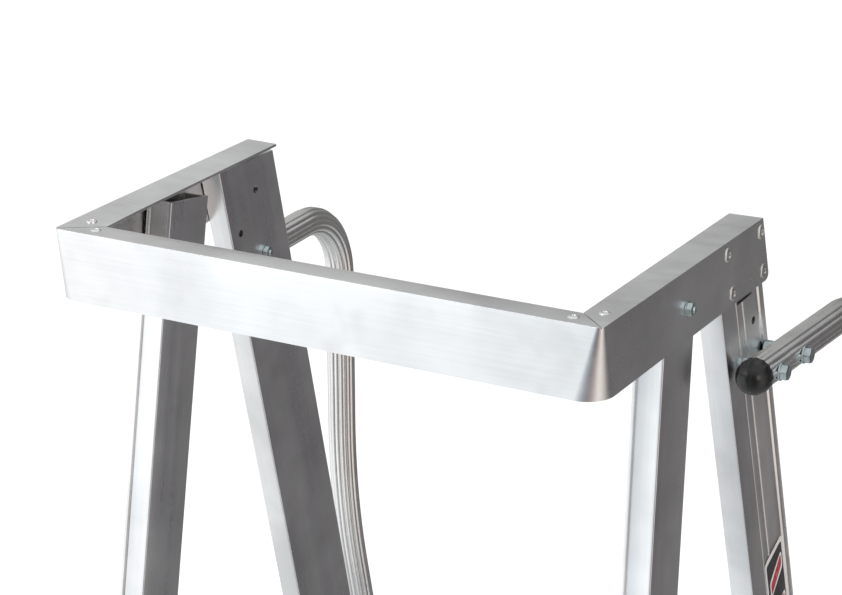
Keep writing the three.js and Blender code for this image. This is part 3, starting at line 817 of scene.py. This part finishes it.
def pivot(side, hand):
    outside = arm_outer(PIVOT_DEPTH)
    spot = at(side, outside, PIVOT_DEPTH, PIVOT_Z)
    axis = Vector((side, 0, 0))
    piece = Piece()
    washer(piece, spot, axis, 6.6, 1.0)
    hexagon(piece, spot + axis * 1.0, axis, 11, 4.6, spin=0.3)
    thread(piece, spot + axis * 5.6, axis, 3, 1.6)
    inner = rear_outer(PIVOT_Z) - 3.6
    nut = at(side, inner, PIVOT_DEPTH, PIVOT_Z)
    piece.turned([(0, 0), (4, 0), (4, outside - inner), (0, outside - inner)], nut, axis, 20)
    hexagon(piece, nut, -axis, 13, 6.5, both=True)
    thread(piece, nut - axis * 6.5, -axis, 4, 3)
    bolt = finish_piece(piece, f"pivot_bolt_{hand}_m8", "climbing_frame", ZINC,
                        [f"pivot_bolt_{hand}"], 0.2)
    spacer = Piece()
    gap = outside - RAIL_WALL - rear_outer(PIVOT_Z)
    thickness = max(gap - 0.3, 0.4)
    base = at(side, rear_outer(PIVOT_Z) + 0.15, PIVOT_DEPTH, PIVOT_Z)
    washer(spacer, base, axis, 10, thickness)
    finish_piece(spacer, f"pivot_washer_{hand}_nylon", "climbing_frame", BLACK_NYLON,
                 [f"pivot_washer_{hand}"])
    return bolt


# ---------------------------------------------------------------- handrails
TUBE_START = 7
TUBE_REACH = 517
TUBE_BEND = 80
TUBE_SWEEP = 700
TUBE_SPLAY = 0.06
STANDOFF = 3.6 + HANDRAIL_RADIUS
RIBS = 14
RIB_DEPTH = 1.15


def tube_x(depth, z):
    return climb_outer(z) + STANDOFF + TUBE_SPLAY * max(depth - climb_face(z) - 15, 0)


def tube_route():
    """The tube's centre line as (depth, height), close together on the bends."""
    route = []
    start = climb_face(HANDRAIL_TOP) + TUBE_START + 8
    level_end = TUBE_REACH - TUBE_BEND
    route += [(start + (level_end - start) * k / 6, HANDRAIL_TOP) for k in range(6)]

    def arc(cx, cz, radius, first, last, steps):
        for k in range(steps + 1):
            angle = first + (last - first) * k / steps
            route.append((cx + radius * math.cos(angle), cz + radius * math.sin(angle)))

    lean = math.radians(CLIMB["tilt"])
    arc(level_end, HANDRAIL_TOP - TUBE_BEND, TUBE_BEND, math.pi / 2, 0, 22)
    arc(TUBE_REACH + TUBE_SWEEP, HEIGHT - 370, TUBE_SWEEP, math.pi, math.pi + lean, 12)
    d1, z1 = route[-1]
    centre_z = HANDRAIL_RETURN + TUBE_BEND
    turn_z = centre_z + TUBE_BEND * math.sin(lean)
    centre_d = d1 + math.tan(lean) * (z1 - turn_z) - TUBE_BEND * math.cos(lean)
    end_d = centre_d + TUBE_BEND * math.cos(lean)
    route += [(d1 + (end_d - d1) * k / 6, z1 + (turn_z - z1) * k / 6) for k in range(1, 6)]
    arc(centre_d, centre_z, TUBE_BEND, lean, -math.pi / 2, 26)
    finish = climb_face(HANDRAIL_RETURN) + TUBE_START + 8
    route += [(centre_d + (finish - centre_d) * k / 4, HANDRAIL_RETURN) for k in range(1, 5)]
    return route


def ribbed_section():
    points = []
    for angle in turns(RIBS * 8):
        crest = abs(math.cos(angle * RIBS / 2)) ** 0.75
        radius = HANDRAIL_RADIUS - RIB_DEPTH * (1 - crest)
        points.append(Vector((radius * math.cos(angle), radius * math.sin(angle))))
    return points


def stations_along(places, sideways):
    """Section frames along a line of places, all turned the same way about it."""
    made = []
    for i, place in enumerate(places):
        ahead = places[min(i + 1, len(places) - 1)] - places[max(i - 1, 0)]
        tangent = ahead.normalized()
        first = (sideways - tangent * sideways.dot(tangent)).normalized()
        made.append((place, first, tangent.cross(first)))
    return made


def handrail(side, hand):
    places = [at(side, tube_x(d, z), d, z) for d, z in tube_route()]
    piece = Piece()
    piece.swept(ribbed_section(), stations_along(places, Vector((side, 0, 0))))
    return finish_piece(piece, f"handrail_{hand}_ribbed_tube", "climbing_frame", TUBE_METAL,
                        [f"handrail_{hand}"])


def handrail_cap(side, hand, name, z):
    """A ball-shaped nylon cap, its rim lightly scalloped for pushing on."""
    radius = HANDRAIL_RADIUS + 0.9
    profile = [(0, -1.2), (radius - 1.2, -1.2), (radius - 0.2, -0.4), (radius, 1.5), (radius, 5)]
    for k in range(1, 11):
        angle = math.pi / 2 * k / 10
        profile.append((radius * math.cos(angle), 5 + radius * math.sin(angle)))
    profile[-1] = (0, 5 + radius)
    depth = climb_face(z) + TUBE_START + 9

    def grip(angle, height):
        return 1 + 0.02 * math.cos(16 * angle) * min(max(1 - (height - 3) / 7, 0), 1)

    piece = Piece()
    piece.turned(profile, at(side, tube_x(depth, z), depth, z), (0, 1, 0), 96, grip)
    return finish_piece(piece, f"handrail_cap_{name}_{hand}_ball", "climbing_frame", BLACK_NYLON,
                        [f"handrail_cap_{name}_{hand}"])


def handrail_fixing(side, hand, name, z):
    """Two bolts through the tube, one of them on through the stile, each with a nut behind the tube."""
    face = climb_face(z)
    axis = Vector((side, 0, 0))
    inner = climb_outer(z) + 0.3
    piece = Piece()
    for k, offset in enumerate(HANDRAIL_BOLTS):
        depth = face + offset
        centre = tube_x(depth, z)
        spot = at(side, centre + HANDRAIL_RADIUS - 0.9, depth, z)
        piece.turned([(0, 0), (4, 0), (4, 32), (0, 32)], at(side, inner, depth, z), axis, 20)
        gap = centre - HANDRAIL_RADIUS - inner
        hexagon(piece, at(side, inner, depth, z), axis, 13, gap, both=True, spin=0.2 + k)
        washer(piece, spot, axis, 8.2, 1.6)
        hexagon(piece, spot + axis * 1.6, axis, 13, 6.0, spin=0.25 + k)
        if k == 0:
            nut = at(side, climb_outer(z) - CLIMB["width"] + 0.9, depth, z)
            washer(piece, nut, -axis, 8, 1.4)
            hexagon(piece, nut - axis * 1.4, -axis, 13, 6.4, both=True, spin=0.5)
            thread(piece, nut - axis * 7.8, -axis, 4, 4)
    if name == "upper":
        nut = at(side, climb_outer(HEIGHT - 104) - CLIMB["width"] + 0.9, 292, HEIGHT - 104)
        washer(piece, nut, -axis, 7, 1.2)
        hexagon(piece, nut - axis * 1.2, -axis, 11, 5, both=True, spin=0.4)
        thread(piece, nut - axis * 6.2, -axis, 3, 2)
    return finish_piece(piece, f"handrail_bracket_{name}_{hand}_bolts", "climbing_frame", ZINC,
                        [f"handrail_bracket_{name}_{hand}"], 0.25)


# ---------------------------------------------------------------- treads
TREAD_DEPTH = 80
TREAD_HEIGHT = 26


def tread_x(z):
    return climb_outer(z) - CLIMB["width"] - 0.3


def ribbed_top(y0, y1, z, pitch, height=1.1):
    """Points along a grooved top, from y0 to y1, with flat-topped ribs."""
    count = max(int(round((y1 - y0) / pitch)), 1)
    step = (y1 - y0) / count
    points = []
    for k in range(count):
        y = y0 + k * step
        points += [(y + step * 0.10, z, 0.2), (y + step * 0.50, z, 0.2)]
        points += [(y + step * 0.60, z - height, 0.2), (y + step * 1.0, z - height, 0.2)]
    return points[:-2]


def tread(step):
    top = step * STEP_RISE
    front = to_y(climb_back(top) - 2)
    back = front + TREAD_DEPTH
    low = top - TREAD_HEIGHT
    outline = [(front + 5, low, 2), (front, low + 6, 4), (front, top - 5, 4), (front + 4, top, 2)]
    outline += ribbed_top(front + 5, back - 5, top, 4.4)
    outline += [(back - 4, top, 0.3), (back, top, 1.2), (back, low, 1.2)]
    middle = (front + back) / 2
    cells = [rectangle(front + 4, middle - 1.1, low + 2.2, top - 3.4, 1.5),
             rectangle(middle + 1.1, back - 2.2, low + 2.2, top - 3.4, 1.5)]
    piece = Piece()
    reach = tread_x(top)
    piece.along_x([fillet(outline, 0.4, 2)] + cells, -reach, reach)
    return finish_piece(piece, f"tread_{step}_ribbed", "climbing_frame", TREAD_METAL,
                        [f"tread_{step}"])


def tread_bracket(side, hand, step):
    top = step * STEP_RISE
    z = top - TREAD_HEIGHT - 0.3
    outer = tread_x(z - 3)
    y = to_y(climb_face(z) + 18)
    leg = 24
    section = fillet([(0, 0), (leg, 0), (leg, -3), (3, -3, 2.5), (3, -leg), (0, -leg)], 0.8)
    piece = Piece()

    def place(depth):
        return lambda u, v: (side * (outer - u), depth, z + v)

    piece.prism([section], place(y - 60), place(y))
    for shift in (12, 30, 48):
        rivet(piece, (side * (outer - 3), y - shift, z - 14), (-side, 0, 0), 4.6, 1.6)
        rivet(piece, (side * (outer - 14), y - shift, z - 3), (0, 0, -1), 4.6, 1.6)
    return finish_piece(piece, f"tread_{step}_bracket_{hand}_angle", "climbing_frame", TREAD_METAL,
                        [f"tread_{step}_bracket_{hand}"], 0.3)


def tread_rivets(side, hand):
    """The rivet heads on the stile's outer face that hold each tread's end."""
    piece = Piece()
    out = stile_axes(side, CLIMB)[1]
    for step in (1, 2):
        for drop, v, u in ((8, 16, 0), (8, 60, RECESS), (40, 16, 0), (40, 60, RECESS)):
            rivet(piece, on_stile(side, CLIMB, u, v, step * STEP_RISE - drop), out, 5.2, 1.8)
    return finish_piece(piece, f"tread_rivets_{hand}", "climbing_frame", RIVET_METAL)


def knee_brace(side, hand):
    z = STEP_RISE - TREAD_HEIGHT - 0.3
    drop = 150
    inner = 150
    outer = tread_x(z - drop) - 1
    y = to_y(climb_face(z - drop) + 52)
    wall = 3
    shape = [(inner - 30, z, 0.4), (inner + 4, z, 8), (outer, z - drop + 4, 6), (outer, z - drop - 26, 0.4),
             (outer - wall, z - drop - 26, 0.4), (outer - wall, z - drop + 2, 5), (inner + 2, z - wall, 6),
             (inner - 30, z - wall, 0.4)]
    loop = fillet([(side * p[0], p[1], p[2]) for p in shape], 0.4, 5)
    piece = Piece()
    piece.prism([loop], lambda x, h: (x, y, h), lambda x, h: (x, y + 24, h))
    for shift in (8, 20):
        rivet(piece, (side * (inner - shift - 2), y + 12, z - wall), (0, 0, -1), 4.6, 1.6)
    for shift in (4, 18):
        rivet(piece, (side * (outer - wall), y + 12, z - drop - 3 - shift), (-side, 0, 0), 4.6, 1.6)
    return finish_piece(piece, f"knee_brace_{hand}_strap", "climbing_frame", TREAD_METAL,
                        [f"knee_brace_{hand}"], 0.5)


# ---------------------------------------------------------------- platform
DECK = {"rear": 6, "nose": 528, "half": 244, "height": 28, "flange": 22, "wall": 3, "web": 4}
PLANKS = 3
WEB_INNER = DECK["half"] - DECK["flange"]
HINGE_Z = PLATFORM_TOP - DECK["height"] / 2


def platform_side(side, hand):
    half, wall, web = DECK["half"], DECK["wall"], DECK["web"]
    top = PLATFORM_TOP
    low = top - DECK["height"]
    shape = [(WEB_INNER, low, 0.8), (half, low, 0.8), (half, low + wall, 0.8)]
    shape += [(WEB_INNER + web, low + wall, 2), (WEB_INNER + web, top - wall, 2)]
    shape += [(half, top - wall, 0.8), (half, top, 0.8), (WEB_INNER, top, 0.5)]
    loop = fillet([(side * p[0], p[1], p[2]) for p in shape], 0.8)
    piece = Piece()
    y0 = to_y(DECK["nose"])
    y1 = to_y(DECK["rear"])
    piece.prism([loop], lambda x, h: (x, y0, h), lambda x, h: (x, y1, h))
    pitch = (DECK["nose"] - DECK["rear"]) / PLANKS
    for plank in range(PLANKS):
        for share in (0.2, 0.8):
            y = to_y(DECK["nose"] - (plank + share) * pitch)
            if abs(y - to_y(HINGE_DEPTH)) > 20:
                rivet(piece, (side * (WEB_INNER + web), y, HINGE_Z), (side, 0, 0), 4.8, 1.6)
    return finish_piece(piece, f"platform_side_{hand}_channel", "platform", DEPTHWISE,
                        [f"platform_side_{hand}"], 0.3)


def platform_plank(index):
    pitch = (DECK["nose"] - DECK["rear"]) / PLANKS
    front = to_y(DECK["nose"] - index * pitch) + 1
    back = front + pitch - 2
    top = PLATFORM_TOP
    low = top - DECK["height"]
    outline = [(front, low, 1.0), (front, top, 1.6)] + ribbed_top(front + 3, back - 3, top, 7.2, 1.3)
    outline += [(back, top, 1.6), (back, low, 1.0)]
    cells = []
    step = (back - front - 2.2) / 3
    for k in range(3):
        cells.append(rectangle(front + 2.2 + k * step, front + (k + 1) * step, low + 2.2, top - 3.6, 1.5))
    piece = Piece()
    end = WEB_INNER - 0.3
    piece.along_x([fillet(outline, 0.4, 2)] + cells, -end, end)
    return finish_piece(piece, f"platform_plank_{index + 1}_ribbed", "platform", TREAD_METAL,
                        [f"platform_plank_{index + 1}"])


REST_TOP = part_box("platform_rest_tube")[1].z / MM
REST_DEPTH = 22.5
REST_WIDTH = 25


def platform_saddle(side, hand):
    base = PLATFORM_TOP - DECK["height"] - 0.3
    seat = REST_TOP + 0.3
    rear = to_y(REST_DEPTH - REST_WIDTH / 2 - 2)
    front = to_y(REST_DEPTH + REST_WIDTH / 2 + 10)
    tip = REST_TOP - 12
    outline = fillet([(rear + 7, base, 1), (rear + 7, tip, 2), (rear, tip, 1.5), (rear, seat, 2.5),
                      (front, seat, 2.5), (front, tip, 1.5), (front - 8, tip, 2),
                      (front - 12, base, 1)], 1, 4)
    x = side * (DECK["half"] - 13)
    piece = Piece()
    piece.along_x([outline], x - 9, x + 9)
    return finish_piece(piece, f"platform_saddle_{hand}_nylon", "platform", BLACK_NYLON,
                        [f"platform_saddle_{hand}"], 0.8, 3)


def hinge_bolt(side, hand):
    axis = Vector((side, 0, 0))
    outer = climb_outer(HINGE_Z) + 0.4
    bush = climb_outer(HINGE_Z) - CLIMB["width"] - 0.5
    nut = WEB_INNER + DECK["web"] + 0.3
    piece = Piece()
    spot = at(side, outer, HINGE_DEPTH, HINGE_Z)
    washer(piece, spot, axis, 9.4, 1.4)
    hexagon(piece, spot + axis * 1.4, axis, 15.5, 5.4, spin=0.2)
    shank = at(side, WEB_INNER + 1, HINGE_DEPTH, HINGE_Z)
    piece.turned([(0, 0), (5, 0), (5, outer - WEB_INNER), (0, outer - WEB_INNER)], shank, axis, 24)
    sleeve = at(side, nut + 5, HINGE_DEPTH, HINGE_Z)
    length = bush - nut - 5
    profile = [(0, 0), (7.6, 0), (8, 0.5), (8, length - 0.5), (7.6, length), (0, length)]
    piece.turned(profile, sleeve, axis, 32)
    hexagon(piece, at(side, nut, HINGE_DEPTH, HINGE_Z), axis, 14.4, 6, both=True)
    return finish_piece(piece, f"platform_hinge_bolt_{hand}_m10", "climbing_frame", ZINC,
                        [f"platform_hinge_bolt_{hand}"], 0.2)


# ---------------------------------------------------------------- cross members
def cross_tube(name, body):
    low, high = (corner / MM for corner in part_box(name))
    outer = rectangle(low.y, high.y, low.z, high.z, 2.0, 4)
    inner = rectangle(low.y + 2, high.y - 2, low.z + 2, high.z - 2, 1.0, 4)
    piece = Piece()
    piece.along_x([outer, inner], low.x, high.x)
    return finish_piece(piece, f"{name}_section", body, CROSSWISE, [name])


def rear_diagonal(side, hand):
    """A flat strap between the two rear braces, with rounded ends and a rivet at each end."""
    name = f"rear_diagonal_{hand}"
    low_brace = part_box("rear_brace_lower")
    high_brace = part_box("rear_brace_upper")
    lean = math.radians(REAR["tilt"])
    normal = Vector((0, -math.cos(lean), -math.sin(lean)))
    ends = []
    for brace, way in ((low_brace, side), (high_brace, -side)):
        z = (brace[0].z + brace[1].z) / 2 / MM
        x = rear_outer(z) - REAR["width"] - 20
        middle = rear_face(z) + REAR["depth"] / math.cos(lean) / 2
        ends.append(Vector((way * x, to_y(middle) + side * 15.7, z)))
    start, finish = ends
    along = (finish - start).normalized()
    flat = normal.cross(along)
    centre = (start + finish) / 2
    half = (finish - start).length / 2 + 12
    strap = rectangle(-12, 12, -half, half, 11.5, 8)
    piece = Piece()

    def layer(height):
        return lambda u, v: centre + flat * u + along * v + normal * height

    piece.prism([strap], layer(-1.5), layer(1.5))
    outward = normal * (-side)
    for spot in ends:
        rivet(piece, spot + outward * 1.5, outward, 5.2, 1.8)
    return finish_piece(piece, f"{name}_strap", "rear_frame", CROSSWISE, [name], 0.3)


def rear_rivets(side, hand):
    """Rivet heads on the rear stile's outer face, where each cross tube ends."""
    piece = Piece()
    out = stile_axes(side, REAR)[1]
    for name in ("rear_brace_lower", "rear_brace_upper", "platform_rest_tube"):
        low, high = (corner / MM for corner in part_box(name))
        for share in (0.25, 0.75):
            z = low.z + (high.z - low.z) * share
            depth = to_y((low.y + high.y) / 2)
            v = (depth - rear_face(z)) * math.cos(math.radians(REAR["tilt"]))
            rivet(piece, on_stile(side, REAR, 0, v, z), out, 4.8, 1.7)
    return finish_piece(piece, f"rear_rivets_{hand}", "rear_frame", RIVET_METAL)


# ---------------------------------------------------------------- label
LABEL_TOP = HEIGHT - 342
LABEL_LOW = LABEL_TOP - 190
LABEL_NEAR = 33
LABEL_FAR = 76


def ink(name, colour):
    """Printed film: slightly glossy, rubbed pale in patches."""
    material, tree, shader = new_material(name)
    plain, _ = grain_vector(tree, (0, 0, 1), 1)
    worn = remap(tree, noise(tree, plain, 90, 4, 0.7), 0, 0.35, 0.60, 0.74)
    rubbed = mix_colour(tree, worn, colour, (0.5, 0.49, 0.48))
    dress(tree, shader, rubbed, remap(tree, noise(tree, plain, 40), 0.22, 0.40))
    return material


def label_shapes():
    """A plain label's outlines in (offset, height): a film, a dark field and bands. No lettering."""
    rise = 16
    low, high, near, far = LABEL_LOW, LABEL_TOP, LABEL_NEAR, LABEL_FAR
    film = [fillet([(near, low), (far, low), (far, high + rise), (near, high)], 6, 5)]
    field = [(near + 3, low + 3), (far - 3, low + 3), (far - 3, high + rise - 6), (near + 3, high - 4)]
    field = [fillet(field, 4, 5)]
    pale = []
    bright = []
    for k in range(4):
        base = high - 42 - k * 44
        slant = [(near + 7, base), (far - 5, base + 24), (far - 5, base + 42), (near + 7, base + 18)]
        pale.append(fillet(slant, 5, 4))
        inner = [(near + 9, base + 3.4), (far - 7, base + 27)]
        inner += [(far - 7, base + 38.8), (near + 9, base + 15.2)]
        bright.append(fillet(inner, 4, 4))
    return film, field, pale, bright


def label(side, hand):
    names = ("film", "field", "outline", "bands")
    colours = ((0.66, 0.66, 0.65), (0.015, 0.015, 0.016), (0.72, 0.72, 0.71), (0.40, 0.015, 0.03))
    for k, (name, colour, loops) in enumerate(zip(names, colours, label_shapes())):
        piece = Piece()
        for loop in loops:
            piece.prism([loop], lambda v, z: on_stile(side, CLIMB, RECESS + 0.9, v, z),
                        lambda v, z: on_stile(side, CLIMB, RECESS + 1.15 + 0.06 * k, v, z))
        finish_piece(piece, f"generic_label_{name}_{hand}", "climbing_frame", ink(f"label_{name}", colour))


# ---------------------------------------------------------------- studio
CAMERA = {
    "azimuth": 30.055, "pitch": 19.61, "roll": 0.59, "lens": 101.0,
    "place": (-975.8, RAIL_Y + 1508.889, 2379.5),
}


def camera():
    azimuth, pitch, roll = (math.radians(CAMERA[key]) for key in ("azimuth", "pitch", "roll"))
    ahead = Vector((math.sin(azimuth), -math.cos(azimuth), 0))
    forward = ahead * math.cos(pitch) - Vector((0, 0, math.sin(pitch)))
    level_right = Vector((-math.cos(azimuth), -math.sin(azimuth), 0))
    level_up = level_right.cross(forward)
    right = level_right * math.cos(roll) - level_up * math.sin(roll)
    up = level_right * math.sin(roll) + level_up * math.cos(roll)
    data = bpy.data.cameras.new("camera")
    data.sensor_width = 36
    data.sensor_fit = "HORIZONTAL"
    data.lens = CAMERA["lens"]
    data.clip_end = 100
    obj = bpy.data.objects.new("camera", data)
    turned = Matrix((right, up, -forward)).transposed().to_4x4()
    obj.matrix_world = Matrix.Translation(Vector(CAMERA["place"]) * MM) @ turned
    bpy.context.scene.collection.objects.link(obj)
    bpy.context.scene.camera = obj


def ramp_node(tree, value, stops):
    made = node(tree, "ShaderNodeValToRGB")
    made.color_ramp.interpolation = "LINEAR"
    elements = made.color_ramp.elements
    for k, (place, colour) in enumerate(stops):
        element = elements[k] if k < 2 else elements.new(place)
        element.position = place
        element.color = (*colour, 1)
    tree.links.new(value, made.inputs["Fac"])
    return made.outputs["Color"]


# The studio round the object, as brightness against the compass: 0.5 is towards +Y, and the value
# grows from there towards -X. A white sweep in front, a narrow lamp to one side, dark behind it.
AROUND = ((0.00, (0.14, 0.14, 0.145)), (0.045, (0.29, 0.29, 0.285)), (0.09, (0.46, 0.46, 0.45)),
          (0.14, (0.62, 0.62, 0.61)), (0.26, (1.00, 1.00, 1.01)), (0.37, (1.22, 1.22, 1.22)),
          (0.42, (1.12, 1.14, 1.16)), (0.445, (0.84, 0.89, 0.93)), (0.475, (0.46, 0.52, 0.56)),
          (0.56, (0.12, 0.12, 0.13)), (0.62, (0.32, 0.22, 0.20)), (0.70, (1.10, 1.02, 0.95)),
          (0.76, (0.72, 0.63, 0.57)), (0.83, (0.13, 0.125, 0.125)), (0.90, (0.115, 0.108, 0.12)),
          (0.935, (0.185, 0.178, 0.172)), (0.97, (0.19, 0.188, 0.185)))


def world():
    made = bpy.data.worlds.new("studio")
    made.use_nodes = True
    tree = made.node_tree
    background = tree.nodes["Background"]
    coords = node(tree, "ShaderNodeTexCoord")
    split = node(tree, "ShaderNodeSeparateXYZ")
    tree.links.new(coords.outputs["Generated"], split.inputs["Vector"])
    backwards = combine(tree, "MULTIPLY", split.outputs["X"], -1.0)
    compass = combine(tree, "ARCTAN2", backwards, split.outputs["Y"])
    turn = combine(tree, "ADD", combine(tree, "DIVIDE", compass, 2 * math.pi), 0.5)
    around = ramp_node(tree, turn, AROUND)
    overhead = remap(tree, split.outputs["Z"], 0, 1, 0.40, 0.80)
    colour = mix_colour(tree, overhead, around, (0.9, 0.91, 0.92))
    under = remap(tree, split.outputs["Z"], 0, 1, -0.5, -0.95)
    colour = mix_colour(tree, under, colour, (0.55, 0.56, 0.57))
    rays = node(tree, "ShaderNodeLightPath")
    colour = mix_colour(tree, rays.outputs["Is Camera Ray"], colour, (1.0, 1.0, 1.0))
    tree.links.new(colour, background.inputs["Color"])
    bpy.context.scene.world = made


def lamp(name, place, target, size, power, colour=(1, 1, 1)):
    data = bpy.data.lights.new(name, "AREA")
    data.shape = "DISK"
    data.size = size
    data.energy = power
    data.color = colour
    obj = bpy.data.objects.new(name, data)
    obj.location = place
    obj.rotation_euler = (Vector(target) - Vector(place)).to_track_quat("-Z", "Y").to_euler()
    bpy.context.scene.collection.objects.link(obj)


def floor():
    mesh = bpy.data.meshes.new("floor")
    reach = 30
    corners = [(-reach, -reach, 0), (reach, -reach, 0), (reach, reach, 0), (-reach, reach, 0)]
    mesh.from_pydata(corners, [], [(0, 1, 2, 3)])
    obj = bpy.data.objects.new("floor", mesh)
    material, tree, shader = new_material("pale_floor")
    coords = node(tree, "ShaderNodeTexCoord")
    tone = noise(tree, coords.outputs["Object"], 2.0, 2)
    colour = mix_colour(tree, tone, (0.80, 0.80, 0.80), (0.84, 0.84, 0.84))
    tree.links.new(colour, shader.inputs["Base Color"])
    shader.inputs["Roughness"].default_value = 0.9
    shader.inputs["Specular IOR Level"].default_value = 0.1
    shader.inputs["Emission Color"].default_value = (1, 1, 1, 1)
    shader.inputs["Emission Strength"].default_value = 0.44
    mesh.materials.append(material)
    obj.visible_glossy = False
    bpy.context.scene.collection.objects.link(obj)


# ---------------------------------------------------------------- assembly
camera()
world()
floor()
lamp("key", (1.6, 3.4, 3.4), (0, 0, 1.0), 2.4, 60)
lamp("fill", (-3.0, 2.2, 2.6), (0, 0, 1.0), 1.6, 14, (1.0, 0.97, 0.94))
bpy.context.scene.view_settings.view_transform = "Standard"

for side, hand in SIDES:
    climbing_stile(side, hand)
    rear_stile(side, hand)
    shoe(side, hand, CLIMB, "climbing_shoe", "climbing_frame")
    shoe(side, hand, REAR, "rear_shoe", "rear_frame")
    shoe_rivets(side, hand, CLIMB, "climbing_shoe", "climbing_frame")
    shoe_rivets(side, hand, REAR, "rear_shoe", "rear_frame")
    arm_rivets(side, hand)
    corner_gusset(side, hand)
    pivot(side, hand)
    handrail(side, hand)
    for name, z in FIXINGS:
        handrail_cap(side, hand, name, z)
        handrail_fixing(side, hand, name, z)
    for step in (1, 2):
        tread_bracket(side, hand, step)
    tread_rivets(side, hand)
    knee_brace(side, hand)
    platform_side(side, hand)
    platform_saddle(side, hand)
    hinge_bolt(side, hand)
    rear_diagonal(side, hand)
    rear_rivets(side, hand)

guard_rail()
for step in (1, 2):
    tread(step)
for index in range(PLANKS):
    platform_plank(index)
for name in ("platform_rest_tube", "rear_brace_upper", "rear_brace_lower"):
    cross_tube(name, "rear_frame")
cross_tube("platform_cross_tube", "climbing_frame")
label(-1, "left")
